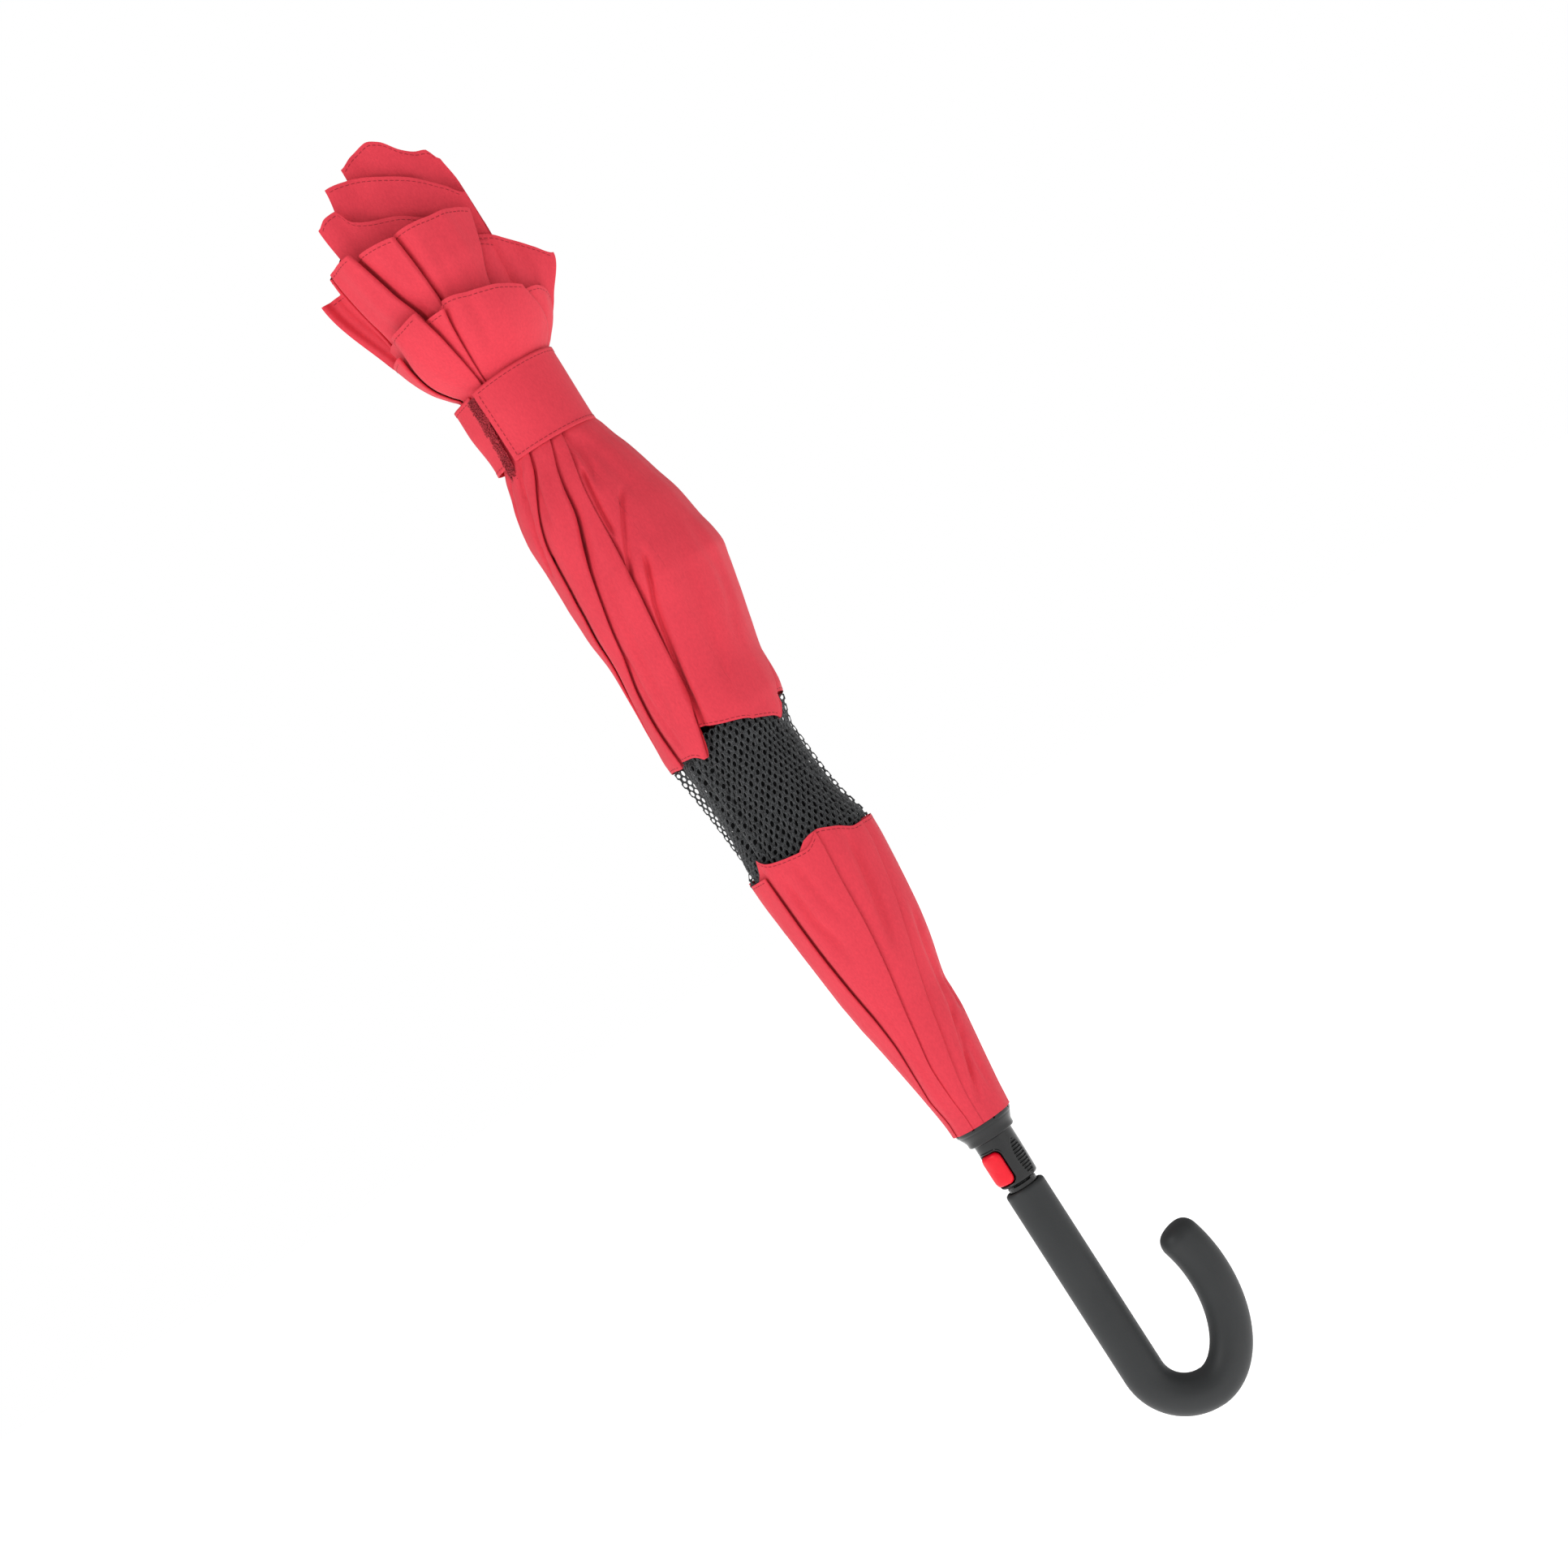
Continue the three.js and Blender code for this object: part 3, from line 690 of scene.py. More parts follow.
UPPER_HEMS = {
    1: [[0, 257], [0.5, 253], [1, 255]],
    2: [[0, 255], [0.5, 259], [1, 254]],
    3: [[0, 254], [0.5, 256], [1, 256]],
    4: [[0, 255], [0.5, 256], [0.86, 255], [1, 256]],
    5: [[0, 257], [0.1, 258], [0.5, 257], [0.86, 252.5], [0.9, 252.5], [1, 264]],
    6: [[0, 266], [0.1, 268.5], [0.5, 262.5], [0.75, 258.5], [0.83, 257], [1, 257]],
    7: [[0, 257], [0.12, 256.6], [0.5, 253], [0.84, 249.6], [0.9, 249.6], [1, 256]],
    8: [[0, 259], [0.12, 262.5], [0.5, 261], [1, 257]],
}

UPPER_TOPS = {
    1: [[0, 536], [1, 540]],
    2: [[0, 540], [1, 544]],
    3: [[0, 536], [0.12, 529], [0.5, 528], [0.86, 528], [0.9, 528], [1, 535]],
    4: [[0, 536], [0.12, 537], [0.5, 538], [0.86, 539.5], [0.9, 539], [1, 531]],
    5: [[0, 531], [0.12, 533.4], [0.86, 532.5], [0.9, 532.5], [1, 532]],
    6: [[0, 532], [0.1, 535], [0.13, 537], [0.5, 531], [0.86, 523], [0.9, 522.5], [1, 518]],
    7: [[0, 518], [0.12, 521.5], [0.3, 521], [0.6, 513], [0.86, 511], [1, 522]],
    8: [[0, 526], [1, 536]],
}

UPPER_HOLD = ("outer_rib", "upper_lining", 19)

for k in range(1, RIB_COUNT + 1):
    hem, top = track(UPPER_HEMS[k]), track(UPPER_TOPS[k])
    gore, grid = add_gore(UPPER, f"lining_top_{k}", k, hem, top, 190, UPPER_HOLD, CLOTH)
    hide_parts(f"upper_lining_{k}")
    stitches(f"lining_top_stitch_{k}", grid, k, 2.2)
    stitches(f"lining_hem_stitch_{k}", grid, k, 1.4, from_top=False)

# ---- Mesh band ----

NET_RADIUS = track([
    [168, 33.5], [176, 34.6], [183, 35.6], [189, 34.8], [198, 32.9], [207, 31.8], [225, 31], [243, 31],
    [250, 32.2], [257, 33], [266, 32.5]])

NET_SHIFT = track([
    [168, 1.2], [183, 1.2], [189, 0], [207, -1.2], [225, -1.8], [243, -2.4], [255, -1.4], [266, -1]])

NET_CREASES = [Crease(*row) for row in (
    ([[172, -27], [200, -27.5], [225, -28], [250, -28.5], [268, -29]], 2.2, 1.6, 2.6, 6),
    ([[172, -23], [200, -22], [232, -20.5], [250, -21], [268, -22]], 2, 1.2, 3.2, 6),
    ([[172, -15.5], [200, -15], [232, -14.5], [268, -14]], 1.1, 1.6, 2, 8),
    ([[172, -6], [196, -5.5], [222, -6.5]], 0.8, 2, 2, 14),
    ([[205, 22.5], [232, 19.5], [268, 24]], 1.3, 3, 3, 10),
    ([[172, 28], [200, 26], [236, 25], [268, 29]], 1.4, 1.6, 2.6, 8),
)]
NET_TUBE = Tube(NET_RADIUS, NET_SHIFT, LOWER_FOLDS, NET_CREASES, ripple=lambda s: 0.75)
CELLS = 48             # holes round the band
CELL_RISE = 3.5        # from one row of holes to the next, mm
FLAP_RISE = 3.1
ROW_SHARE = 0.75       # a row's rise as a share of a cell's height, since the cells interlock
NET_LOW, NET_HIGH = 170.0, 266.0
NET_LEAN = 0.3         # how the columns of holes lean, degrees of facing a millimetre
NET_INSIDE_HOLD = ("strut", "lower_lining", 24)
CORNERS = np.array([[0, .5], [.25, .375], [.5, .25], [.5, 0], [.5, -.25], [.25, -.375],
                    [0, -.5], [-.25, -.375], [-.5, -.25], [-.5, 0], [-.5, .25], [-.25, .375]])


def knit_cell(hole_width, hole_height, draw):
    """Rings of points of one six-sided cell, from its edge to its oval hole, with a height for each."""
    turn = np.radians(90 - 30 * np.arange(12))
    hole = np.stack([hole_width * np.cos(turn), hole_height * np.sin(turn)], 1) * draw.uniform(0.8, 1.15, 2)
    ridge, dip = 0.72 * CORNERS + 0.28 * hole, 0.42 * CORNERS + 0.58 * hole
    wave = draw.uniform(-0.16, 0.16, (4, 12))
    return [(CORNERS, -0.05 + 0 * wave[0]), (ridge, 0.36 + wave[1]), (dip, 0.16 + wave[2]),
            (hole, -0.45 + 0 * wave[3])]


def add_cell(verts, faces, rings, to_points):
    for ring, lift in rings:
        a = len(verts)
        verts.extend(to_points(ring, lift).tolist())
        if ring is not rings[-1][0]:
            for c in range(12):
                d = (c + 1) % 12
                faces.append((a + d, a + c, a + 12 + c, a + 12 + d))


def finish_net(obj, k):
    bend(obj, k)


def add_net():
    """Open knit: six-sided cells, each a raised collar of yarn round an oval hole, sorted by gore."""
    width, height = 360 / CELLS, CELL_RISE / ROW_SHARE
    verts = {k: [] for k in range(1, RIB_COUNT + 1)}
    faces = {k: [] for k in verts}
    draw = np.random.default_rng(100)
    for j in range(int((NET_HIGH - NET_LOW) / CELL_RISE)):
        s0 = NET_LOW + (j + 0.5) * CELL_RISE
        for i in range(CELLS):
            f0 = ((i + 0.5 * (j % 2)) * width + NET_LEAN * (s0 - 220)) % 360 + FIRST_FACING
            k = int((f0 - FIRST_FACING) // SECTOR) + 1

            def to_points(ring, lift):
                f, s = f0 + ring[:, 0] * width, s0 + ring[:, 1] * height
                f = f + NET_LEAN * (s - s0)
                return place(f, NET_TUBE.surface(f, s) + lift, s)

            add_cell(verts[k], faces[k], knit_cell(0.21, 0.34, draw), to_points)
    for k in verts:
        finish_net(make(f"mesh_band_{k}", verts[k], faces[k], NET), k)


def add_net_flap(name, k, across, outer, inner):
    """A single layer of the knit, pinched out sideways: light shows through its holes."""
    outer, inner, width, height = track(outer), track(inner), 1 / across, FLAP_RISE / ROW_SHARE
    low, high, depth = 174, 261, -7.0
    verts, faces = [], []
    draw = np.random.default_rng(200 + k)
    for j in range(int((high - low) / FLAP_RISE)):
        s0 = low + (j + 0.5) * FLAP_RISE
        for i in range(across + 1):
            u0 = (i + 0.5 * (j % 2)) * width

            def to_points(ring, lift):
                u, s = np.clip(u0 + ring[:, 0] * width, 0, 1), s0 + ring[:, 1] * height
                x = outer(s) * (1 - u) + inner(s) * u
                y = depth * u ** 1.5 + 0.5 * np.sin(s * 0.23 + 5 * u) - 0.5 * lift
                return np.stack([x, y, s + BASE], -1)

            if u0 < 1 + 0.25 * width:
                add_cell(verts, faces, knit_cell(0.28, 0.35, draw), to_points)
    finish_net(make(name, verts, faces, NET), k)


NO_FOLDS = [edge_by_facing([[0, rib_facing(k) - 1], [700, rib_facing(k) - 1]], [[0, 0], [700, 0]], 10)
            for k in range(1, RIB_COUNT + 1)]
# the tube under the knit that carries the painted shade layer
NET_INNER = Tube(lambda s: NET_RADIUS(s) - 3.2, NET_SHIFT, NO_FOLDS, (), ripple=lambda s: 1.0,
                 dive=0, least=16)
NET_INNER.shown = 26
add_net()
add_net_flap("mesh_flap_left", 4, 3,
             [[172, -34.5], [180, -38.2], [189, -34.7], [207, -35.6], [234, -37.9], [252, -40.1],
              [262, -40.6]],
             [[172, -28], [189, -29.5], [225, -30], [262, -31]])

add_net_flap("mesh_flap_right", 8, 2,
             [[172, 35], [180, 38.6], [189, 36.8], [198, 34.6], [216, 32.3], [234, 31.2], [243, 30.6],
              [252, 32.6], [261, 35.3]],
             [[172, 28], [189, 29.5], [225, 27], [262, 28]])

# near-black inner sheets behind the knit: painted shade for the band's inside
for k in range(1, RIB_COUNT + 1):
    low, high = const(NET_LOW + 1), const(NET_HIGH - 1)
    add_gore(NET_INNER, f"mesh_band_shade_layer_{k}", k, low, high, 30, NET_INSIDE_HOLD, NET_SHADE_LAYER)

# ---- Rain cloth: crown over the top links, outer part inside the ribs, hems fanning out ----

CROWN_HOLD = ("top_link", "rain_panel", 9.7)
RAIN_HOLD = ("outer_rib", "upper_lining", 10.6)
CROWN_HEM = [[0, 242], [0.1, 240], [0.5, 214], [0.9, 240], [1, 242]]    # hangs lower between the ribs
CROWN = Tube(lambda s: 9.95 + 0 * s, lambda s: 0 * s, NO_FOLDS, (), ripple=lambda s: 0.06, dive=0, least=9.7)
RAIN_RADIUS = track([
    [241, 10.8], [452, 10.8], [470, 12.5], [484, 17], [492, 20.5], [499, 25.5], [506, 30.5], [514, 35],
    [523, 39], [532, 41], [549, 42.5], [567, 44.5], [590, 46.5], [598, 41], [606, 36.5], [628, 21],
    [645, 15]])

RAIN_SHIFT = track([[241, 0], [500, 0], [535, -3], [580, -6.5], [645, -6.5]])

PLAIN_STEP = [[241, 0], [470, 0], [500, 2], [560, 3.5]]

RAIN_FOLDS = [
    edge_by_facing([[241, 111.5], [470, 111.5], [500, 128], [640, 132]], PLAIN_STEP, 16),
    edge_by_facing([[241, 156.5], [470, 156.5], [500, 173], [640, 178]], PLAIN_STEP, 16),
    edge_by_facing([[241, 201.5], [470, 201.5], [500, 218], [640, 226]], PLAIN_STEP, 16),
    edge_by_facing(
        [[241, 246.5], [470, 246.5], [500, 268], [550, 276], [595, 280]],
        [[241, 0], [470, 0], [500, 2], [560, 4]], 16),
    edge_by_x(
        [[241, -10.15], [470, -11.6], [496, -14.5], [549, -24.4], [594, -35.6], [610, -39]],
        [[241, 0], [470, 0], [500, 2], [560, 6.5]], 14),
    edge_by_x(
        [[241, -4.4], [470, -5.2], [496, -9.5], [549, -8], [591, -10.8], [610, -11.5]],
        [[241, 0], [470, 0], [500, 2], [560, 6.5]], 14),
    edge_by_x(
        [[241, 3.9], [470, 4.4], [500, 13], [539, 22], [583, 32.4], [600, 34]],
        [[241, 0], [470, 0], [500, 1.5], [560, 6]], 18),
    edge_by_facing([[241, 426.5], [470, 426.5], [500, 448], [540, 453], [640, 454]], PLAIN_STEP, 18),
]

RAIN_CREASES = [Crease(*row) for row in (
    ([[512, -2], [560, 6], [596, 12]], 1.6, 5, 5, 20),
    ([[520, 31], [548, 38], [572, 43]], 1.2, 4, 4, 12),
)]


def front_lean(facing, s):
    """Above the lining's hems the near side of the flare stands further out than its sides."""
    near = np.maximum(np.cos(np.radians(facing)), 0) ** 1.5
    return 1 + 0.14 * near * smooth((s - 536) / 20)


def rib_dive(s):
    """How far the cloth dips to reach the rib between two leaves."""
    return np.maximum(RAIN_RADIUS(s) - 17.0, 0)


RAIN = Tube(RAIN_RADIUS, RAIN_SHIFT, RAIN_FOLDS, RAIN_CREASES,
            ripple=track([[241, 0.05], [470, 0.08], [500, 0.7], [560, 1.5], [640, 1.8]]),
            dive=rib_dive, least=10.6, lean=front_lean)
RAIN_TOPS = {
    1: [[0, 629], [0.1, 622], [0.5, 616], [0.86, 622], [1, 629]],
    2: [[0, 629], [0.1, 622], [0.5, 617], [0.86, 621], [1, 629]],
    3: [[0, 629], [0.1, 621], [0.3, 606], [0.6, 590], [0.86, 586.5], [0.95, 586], [1, 586]],
    4: [[0, 586], [0.5, 586.6], [0.86, 586], [0.9, 586], [1, 578]],
    5: [[0, 578], [0.1, 581], [0.13, 583], [0.86, 579.3], [0.9, 579], [1, 574]],
    6: [[0, 574], [0.1, 577], [0.13, 580.6], [0.5, 579], [0.86, 574.5], [0.9, 574], [1, 556]],
    7: [[0, 556], [0.12, 558.5], [0.4, 553], [0.86, 545], [0.9, 545], [1, 548]],
    8: [[0, 548], [0.08, 558], [0.3, 568], [0.7, 592], [0.9, 616], [1, 629]],
}

for k in range(1, RIB_COUNT + 1):
    crown, _ = add_gore(CROWN, f"rain_crown_{k}", k, track(CROWN_HEM), const(486.0), 70, CROWN_HOLD, CLOTH)
    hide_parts(f"rain_panel_{k}")
    top = track(RAIN_TOPS[k])
    _, grid = add_gore(RAIN, f"rain_outer_{k}", k, const(248.0), top, 190, RAIN_HOLD, CLOTH)
    stitches(f"rain_stitch_{k}", grid, k, 2.2)


TAPE_LOW, TAPE_HIGH, TAPE_RADIUS, TAPE_ROUND = 466, 628, 2.75, 105
RIB_RADIUS = 13.0      # how far the ribs lie from the shaft's axis at rest


def add_rib_tape(k):
    """A narrow cloth tape over the shaft's side of a rib's outer end, where the rain cloth is sewn to it."""
    turn = np.radians(np.linspace(-TAPE_ROUND, TAPE_ROUND, 15))
    s, turn = np.meshgrid(np.linspace(TAPE_LOW, TAPE_HIGH, 40), turn, indexing="ij")
    round_rib = TAPE_RADIUS + 0.12 * np.sin(s / 5 + 2 * turn)
    a = math.radians(rib_facing(k))
    out, across = RIB_RADIUS - round_rib * np.cos(turn), round_rib * np.sin(turn)
    x, y = out * math.sin(a) + across * math.cos(a), -out * math.cos(a) + across * math.sin(a)
    tape = make(f"rib_tape_{k}", np.stack([x, y, s + BASE], -1), grid_faces(*s.shape), CLOTH)
    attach(tape, f"outer_rib_{k}")


for k in range(1, RIB_COUNT + 1):
    add_rib_tape(k)


def add_inner_leaf(name, k, hem, left, right, depth, bulge, edge_depth=0, start=478):
    """A leaf of the far cloth inside the flare, seen over the near hems.

    hem gives its height across its width, left and right its edges, depth how far back it lies at
    its foot and its hem.
    """
    rows, columns = 50, 40
    u, v = np.meshgrid(np.linspace(0, 1, columns), np.linspace(0, 1, rows))
    s = start + (track(hem)(u) - start) * v
    x = track(left)(s) * (1 - u) + track(right)(s) * u
    y = depth[0] + (depth[1] - depth[0]) * v + bulge * (1 - (2 * u - 1) ** 2) * (0.3 + 0.7 * v)
    y = y + 1.0 * np.sin(9 * u + 2.2 * v + depth[0]) * v + 0.5 * np.sin(21 * u + 3 * v) * v
    y = y + edge_depth * (u ** 1.5 if name.endswith("right") else (1 - u) ** 1.5)
    points = np.stack([x, y, s + BASE], -1)
    obj = make(name, points, grid_faces(rows, columns), CLOTH)
    bend(obj, k)
    stitches(name + "_stitch", points, k, 2.2, range(1, columns - 1))


# the far cloth, three leaves one in front of the other, all in front of the ribs' tips
add_inner_leaf(
    "far_leaf_1", 6,
    [[0, 632.5], [0.18, 636], [0.38, 637.5], [0.52, 634], [0.68, 624], [0.8, 619.5], [0.92, 617], [1, 608.5]],
    [[500, -10], [560, -17], [600, -17], [632, -14.5]], [[500, 18], [560, 36.5], [592, 36.8], [612, 34.7]],
    (-15, -18.5), -2)

add_inner_leaf(
    "far_leaf_2", 6, [[0, 626.5], [0.2, 624.5], [0.45, 617], [0.7, 606], [0.88, 594], [1, 585]],
    [[500, -16], [560, -31], [600, -31.5], [627, -27.9]], [[500, 17], [560, 35.5], [590, 36.5]],
    (-16, -23.5), -2.5)

add_inner_leaf(
    "far_leaf_3", 6, [[0, 608.5], [0.1, 612], [0.2, 612.5], [0.27, 603], [0.6, 592.5], [1, 578]],
    [[500, -17], [560, -36], [590, -41], [608, -42.6]], [[500, 12], [560, 20], [590, 22]], (-17, -29), -3)

add_inner_leaf(
    "side_leaf_left", 4, [[0, 577.5], [0.5, 578], [1, 578]], [[489, -34], [531.6, -51.2], [580, -64.9]],
    [[489, -24], [535, -34], [580, -42]], (-4, -9), 3, edge_depth=5, start=500)

add_inner_leaf(
    "side_leaf_right", 8, [[0, 562], [0.25, 559], [0.5, 552], [0.8, 541], [1, 533.5]],
    [[489, 16], [534, 20], [566, 25]], [[489, 31.5], [513, 46.6], [534, 59.8]], (-18, -24), -3,
    edge_depth=16, start=500)

# ---- Closing strap ----

STRAP_LOW, STRAP_HIGH = 445.4, 490.0
STRAP_END, STRAP_ROOT = -40.0, 311      # facings of its free end and its sewn end
LOOP_LOW, LOOP_RISE = 435, 52.5         # where the strip of loops begins, and its length


def strap_radius(f, s):
    """The band lies on its own lower turn near its end and stands off as a flap on the left."""
    stand = np.exp(-((f - 268) / 20) ** 2) * (2.6 + 2.2 * smooth((s - 452) / 24))
    lap = 1.0 * smooth((STRAP_END + 14 - f) / 14)
    sag = 0.35 * np.sin(np.radians(f * 2 + 40)) + 0.3 * np.sin((s - 447) / 14 + np.radians(3 * f))
    return 30.35 + stand + lap + sag


def add_strap():
    rows, columns = 40, 240
    v = np.linspace(0, 1, rows)[:, None]
    f = np.linspace(STRAP_END, STRAP_ROOT, columns)[None, :]
    bow = 1.0 * np.sin(np.radians(f + 30))
    s = STRAP_LOW + (STRAP_HIGH - STRAP_LOW) * v + bow * (v - 0.5) * 2
    edge = np.minimum(v, 1 - v) * (STRAP_HIGH - STRAP_LOW)
    hem = 0.32 * smooth((3.2 - edge) / 0.9) - 0.22 * np.exp(-((edge - 2.3) / 0.5) ** 2)
    near_end = (f - STRAP_END) * 0.54               # mm from the free end
    groove = 0.22 * np.exp(-((near_end - 2.1) / 0.5) ** 2)
    hem = np.maximum(hem, 0.32 * smooth((3.0 - near_end) / 0.9)) - groove
    points = place(f + 0 * s, strap_radius(f, s) + hem, s)
    band = make("strap_band", points, grid_faces(rows, columns), CLOTH)
    thicken(band, 0.7)
    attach(band, "strap")
    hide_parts("closing_strap")
    add_strap_stitches(points)
    add_loop_patch()


def add_strap_stitches(points):
    verts, faces = [], []
    for line in (points[2, 4:], points[-3, 4:], points[2:-2, 4]):
        run = run_of(line)
        for marks in dash_marks(run[-1], 0.3, 3.0):
            a = on_line(marks, run, line)
            out = a * [1, 1, 0]
            out /= np.linalg.norm(out, axis=1, keepdims=True)
            side = np.cross(out, np.gradient(a, axis=0))
            side /= np.linalg.norm(side, axis=1, keepdims=True)
            a = a + out * (HUMP + 0.06)
            add_dash(verts, faces, a - side * 0.2, a + side * 0.2)
    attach(make("strap_stitch", verts, faces, STITCH), "strap")


def loop_facing(v):
    """Facing of the strip's middle, from its foot to its top."""
    return -47.0 - 10.5 * (1 - v) ** 2.2


def add_loop_patch():
    """The fluffy strip beside the strap's end, made of short curled tufts on a backing."""
    draw = np.random.default_rng(11)
    rows, columns = 34, 10
    v, u = np.meshgrid(np.linspace(0, 1, rows), np.linspace(0, 1, columns), indexing="ij")
    f = loop_facing(v) + (u - 0.5) * (12.5 + 2 * np.sin(9 * v))
    r = 30.9 + 0.5 * np.sin(math.pi * u) + draw.uniform(-0.12, 0.12, u.shape)
    verts = place(f, r, LOOP_LOW + LOOP_RISE * v).reshape(-1, 3).tolist()
    faces = [tuple(q) for q in grid_faces(rows, columns)]
    up = np.array([0, 0, 1.0])
    for _ in range(900):
        a, b = draw.uniform(0.02, 0.98, 2)
        f0 = loop_facing(a) + (b - 0.5) * 13
        base = place(f0, 31.2, LOOP_LOW + LOOP_RISE * a)
        turn = draw.uniform(0, 2 * math.pi)
        out = around(f0, 1.0, 0.0)
        way = math.cos(turn) * np.cross(up, out) + math.sin(turn) * up
        side = np.cross(out, way) * 0.2
        size = draw.uniform(0.7, 1.3)
        first = len(verts)
        for g in np.arange(6) / 5 * math.pi:
            p = base + way * size * (1 - math.cos(g)) * 0.55 + out * size * math.sin(g) * 0.8
            verts.extend([(p - side).tolist(), (p + side).tolist()])
        faces.extend([(i, i + 1, i + 3, i + 2) for i in range(first, first + 10, 2)])
    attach(make("strap_loop_patch", verts, faces, LOOP_PILE), "strap")


add_strap()

# ---- Handle, runner, ring and button ----

GRIP_RADIUS, GRIP_TOP, GRIP_BOTTOM = 12.0, 56.0, -66.9
RECESS_RADIUS, RECESS_FLOOR, DOME = 9.2, 43.2, 9.5
CROOK_BEND, HOOK_X, HOOK_Z, HOOK_CENTRE, HOOK_END = 27.0, 33.5, 55.0, -39.0, 25.0


RUNNER_RADIUS, RUNNER_BOTTOM, RUNNER_TOP, BORE = 12.05, 59.6, 88.7, 6.2

BUTTON_FACING, BUTTON_CENTRE, BUTTON_FACE = -46.0, 72.0, 13.3
BUTTON_WIDTH, BUTTON_HEIGHT, BUTTON_CORNER = 17.0, 19.4, 4.0
POCKET_DEPTH, POCKET_GAP = 4.6, 0.6
PATCH_FACING, RIDGE_PITCH = 45.0, 2.0
RING_WALL, SLOT_FLOOR = 1.4, 98.3


def crook_line():
    """The crook's middle line: straight down, a quarter circle and an elliptical hook."""
    line = [(0, GRIP_TOP - 3 - t * (GRIP_TOP - 3 - GRIP_BOTTOM)) for t in np.linspace(0, 1, 31)]
    for a in np.radians(np.linspace(180, 270, 19))[1:]:
        line.append((CROOK_BEND * (1 + math.cos(a)), GRIP_BOTTOM + CROOK_BEND * math.sin(a)))
    for a in np.radians(np.linspace(-90, HOOK_END, 41))[1:]:
        line.append((CROOK_BEND + HOOK_X * math.cos(a), HOOK_CENTRE + HOOK_Z * math.sin(a)))
    return np.array(line)


def add_grip():
    """Soft rubber crook: a swept round tube with a rolled mouth, a recess round the shaft and a domed end."""
    count = 72
    turns = np.arange(count) * 360 / count
    mouth = ((6, RECESS_FLOOR), (8.6, RECESS_FLOOR), (RECESS_RADIUS, RECESS_FLOOR + 0.6),
             (RECESS_RADIUS, 50), (RECESS_RADIUS, GRIP_TOP - 1.6), (9.5, GRIP_TOP - 0.6),
             (10.1, GRIP_TOP - 0.05), (10.8, GRIP_TOP), (11.5, GRIP_TOP - 0.45), (11.9, GRIP_TOP - 1.3),
             (GRIP_RADIUS, GRIP_TOP - 2.4))
    rings = [around(turns, r, z) for r, z in mouth]
    line = crook_line()
    along = np.gradient(line, axis=0)
    along /= np.linalg.norm(along, axis=1, keepdims=True)
    a = np.radians(turns)

    def swept(centre, way, radius):
        x = centre[0] - radius * np.sin(a) * way[1]
        z = centre[1] + radius * np.sin(a) * way[0]
        return np.stack([x, -radius * np.cos(a), z], -1)

    for centre, way in zip(line, along):
        rings.append(swept(centre, way, GRIP_RADIUS))
    for t in np.radians(np.linspace(0, 90, 14)[1:-1]):
        centre = line[-1] + along[-1] * DOME * math.sin(t)
        rings.append(swept(centre, along[-1], GRIP_RADIUS * math.cos(t) ** 0.62))
    tip = line[-1] + along[-1] * DOME
    points = np.concatenate(rings + [[[tip[0], 0, tip[1]]]])
    faces = [tuple(f) for f in grid_faces(len(rings), count, closed=True)]
    last = (len(rings) - 1) * count
    faces += [(last + i, last + (i + 1) % count, len(points) - 1) for i in range(count)]
    grip = make("grip_rubber_crook", points, faces, RUBBER)
    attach(grip, "shaft_and_handle")
    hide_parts("handle_grip")


def rounded_box_distance(x, y, half_x, half_y, corner):
    """Signed distance to a rectangle with round corners: below 0 inside."""
    dx, dy = np.abs(x) - half_x + corner, np.abs(y) - half_y + corner
    outside = np.hypot(np.maximum(dx, 0), np.maximum(dy, 0))
    return outside + np.minimum(np.maximum(dx, dy), 0) - corner


def add_runner():
    """Glossy runner sleeve with a pocket for the button and a lens-shaped patch of thumb ridges."""
    count, low, high = 240, RUNNER_BOTTOM, RUNNER_TOP
    profile = [(BORE, low + 2.5), (BORE, low + 0.4), (7.0, low), (9.6, low), (10.6, low + 0.35),
               (11.25, low + 1.0)]
    for z in np.linspace(low + 1.9, high, 96):
        profile.append((RUNNER_RADIUS - 0.55 * (1 - (z - low) / 29) ** 2 - 0.15, z))
    profile = np.array(profile + [(11.6, high + 0.2), (BORE, high + 0.2)])
    f = np.arange(count)[None, :] * 360 / count
    r, z = profile[:, :1] + 0 * f, profile[:, 1:] + 0 * f
    from_button = np.radians((f - BUTTON_FACING + 180) % 360 - 180) * 13.0
    gap = rounded_box_distance(from_button, z - BUTTON_CENTRE, BUTTON_WIDTH / 2 + POCKET_GAP,
                               BUTTON_HEIGHT / 2 + 0.45, BUTTON_CORNER)
    outer = r > 10.5
    pocket = r - POCKET_DEPTH * smooth((0.35 - gap) / 0.7) + 0.15 * np.exp(-((gap - 0.9) / 0.5) ** 2)
    r = np.where(outer, pocket, r)
    from_patch = np.radians((f - PATCH_FACING + 180) % 360 - 180) * 12.0
    lens = 4.3 * np.sqrt(np.maximum(1 - ((z - BUTTON_CENTRE) / 11.4) ** 2, 0))
    inside = smooth((lens - np.abs(from_patch)) / 0.6) * outer
    ridge = 0.5 - 0.5 * np.cos((z - 61.5) * 2 * math.pi / RIDGE_PITCH)
    points = around(f, r - inside * (0.75 - 0.7 * ridge), z)
    faces = grid_faces(len(profile), count, closed=True)
    runner = make("runner_sleeve", points, faces, GLOSS)
    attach(runner, "runner")
    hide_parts("runner_body")


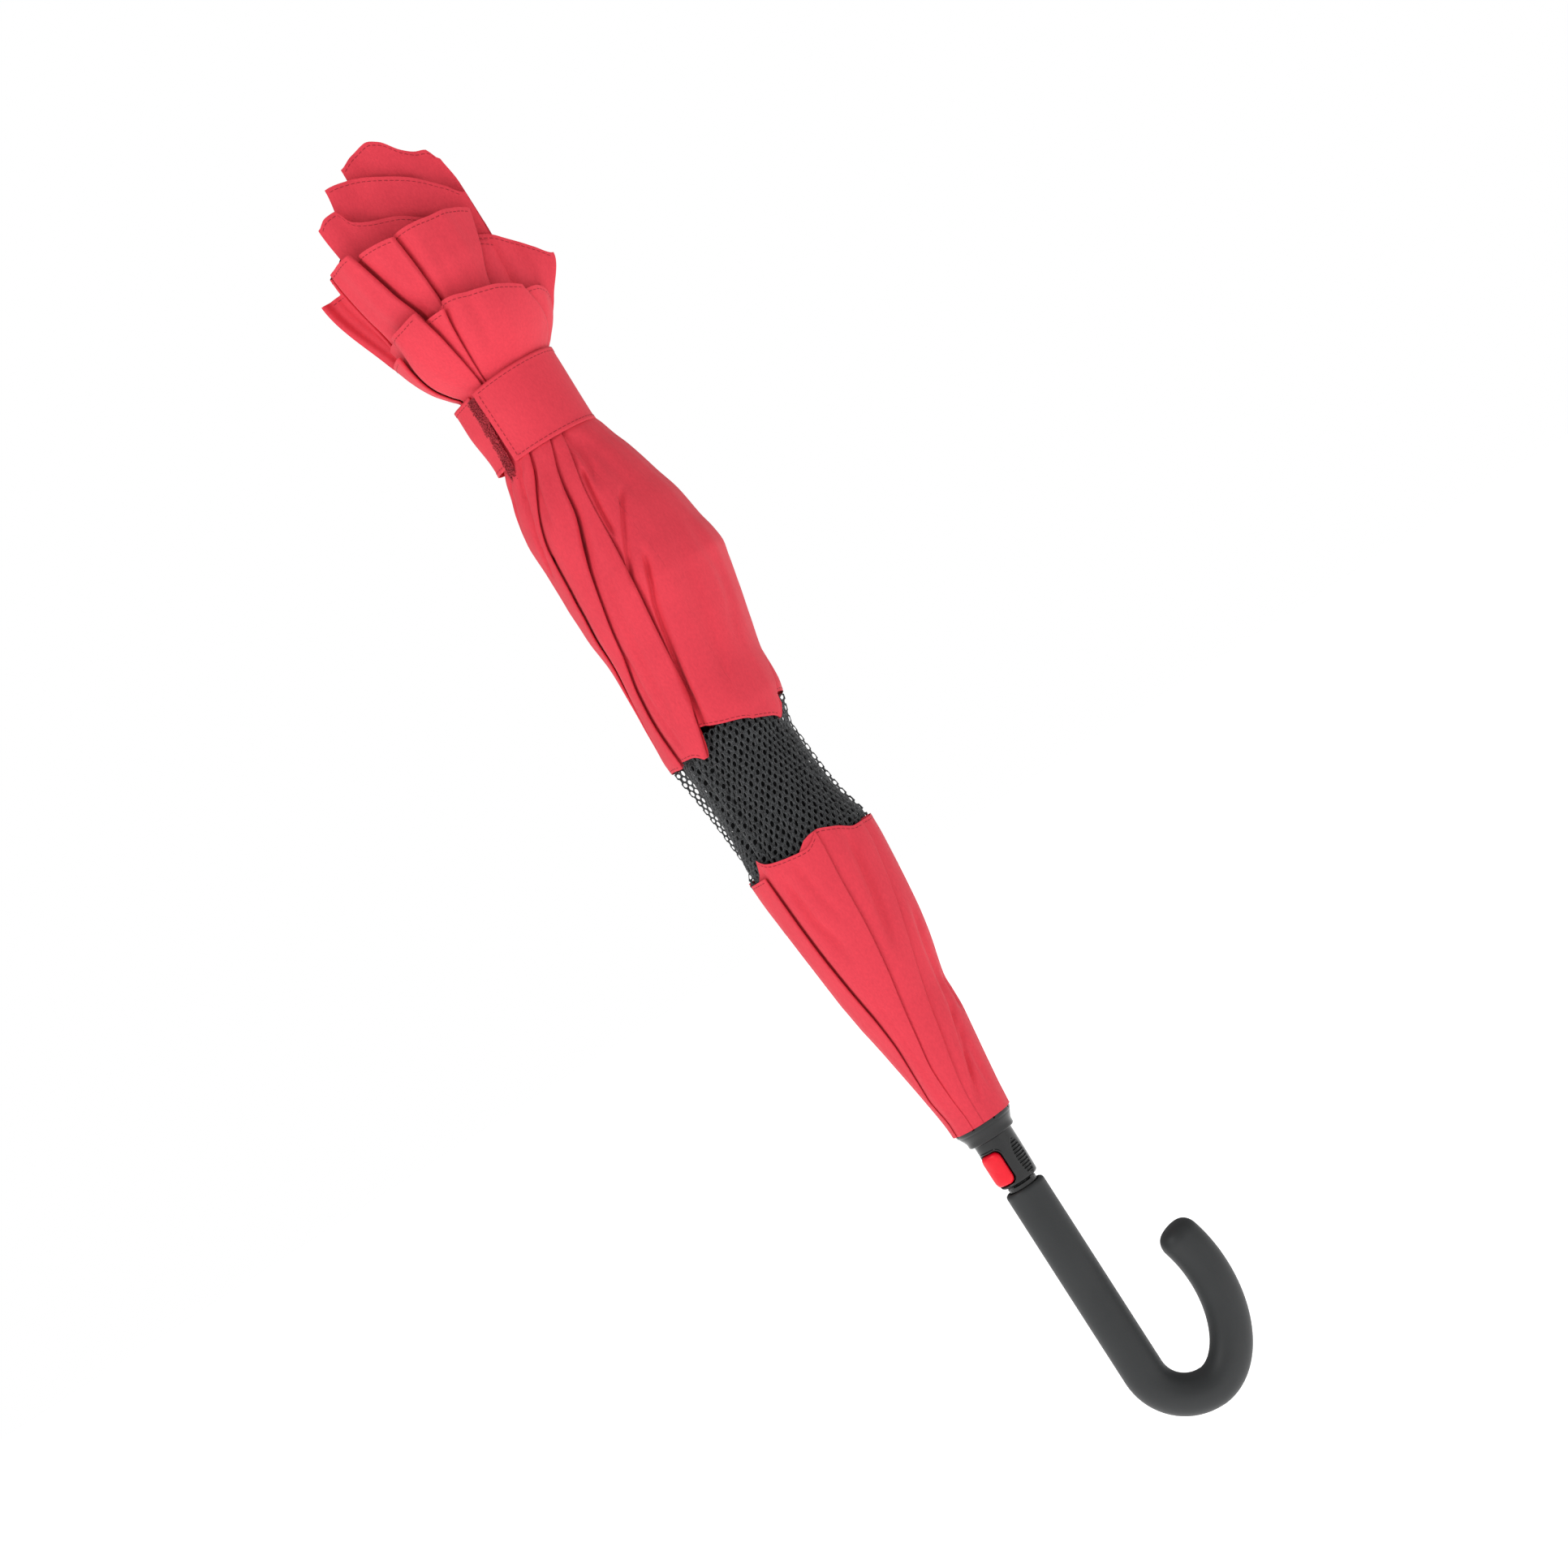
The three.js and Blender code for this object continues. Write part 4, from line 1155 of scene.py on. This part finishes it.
def add_ring():
    """Flared ring under the cloth with a slot for each strut."""
    per_sector = 24
    count = RIB_COUNT * per_sector
    profile = np.array([(12.6, 88.8), (13.8, 88.85), (14.35, 89.3), (14.45, 90.2), (14.45, 91.6),
                        (14.75, 92.6), (15.35, 93.9), (16.05, 95.2), (16.55, 96.1), (16.6, 96.5),
                        (17.0, 96.8), (17.4, 97.6), (17.6, 98.4), (17.6, 99.4), (17.4, 100.2),
                        (16.8, 100.8), (14.4, 101.0)])
    f = FIRST_FACING + (np.arange(count) - 0.5) * 360 / count
    points = around(f, profile[:, :1], profile[:, 1:])
    keep = []
    for quad in grid_faces(len(profile), count, closed=True):
        row, column = divmod(quad[0], count)
        in_slot = column % per_sector in (0, per_sector - 1)
        if not (in_slot and profile[row, 1] >= SLOT_FLOOR):
            keep.append(tuple(quad))
    ring = make("rib_ring_flare", points, keep, GLOSS)
    thicken(ring, RING_WALL)
    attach(ring, "runner")


def add_button():
    """Red push button: a pillow with round corners bent round the runner."""
    count = 96
    half = np.array([BUTTON_WIDTH / 2, BUTTON_HEIGHT / 2])
    reach = np.linspace(0.2, 1.2 * half.max() * 1.5, 400)
    outline = []
    for t in np.radians(np.arange(count) * 360 / count):
        way = np.array([math.cos(t), math.sin(t)])
        d = rounded_box_distance(reach * way[0], reach * way[1], half[0], half[1], BUTTON_CORNER)
        outline.append(way * np.interp(0, d, reach))
    rings = []
    # share of the outline and drop below the face, in mm
    for share, drop in ((0.08, 0), (0.3, 0), (0.55, 0), (0.72, 0.02), (0.8, 0.08), (0.86, 0.2),
                        (0.91, 0.42), (0.945, 0.72), (0.965, 1), (0.975, 1.15), (0.985, 1.7),
                        (1, 1.95), (1, 3.4)):
        p = np.array(outline) * share
        f = BUTTON_FACING + np.degrees(p[:, 0] / BUTTON_FACE)
        rings.append(around(f, BUTTON_FACE - drop - 0.25 * (1 - share) ** 2, BUTTON_CENTRE + p[:, 1]))
    middle = around(BUTTON_FACING, BUTTON_FACE - 0.25, BUTTON_CENTRE)
    points = np.concatenate(rings + [[middle]])
    faces = [tuple(q) for q in grid_faces(len(rings), count, closed=True)]
    faces += [((i + 1) % count, i, len(points) - 1) for i in range(count)]
    button = make("button_cap", points, faces, RED)
    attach(button, "button")
    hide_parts("push_button")


add_grip()
add_runner()
add_ring()
add_button()
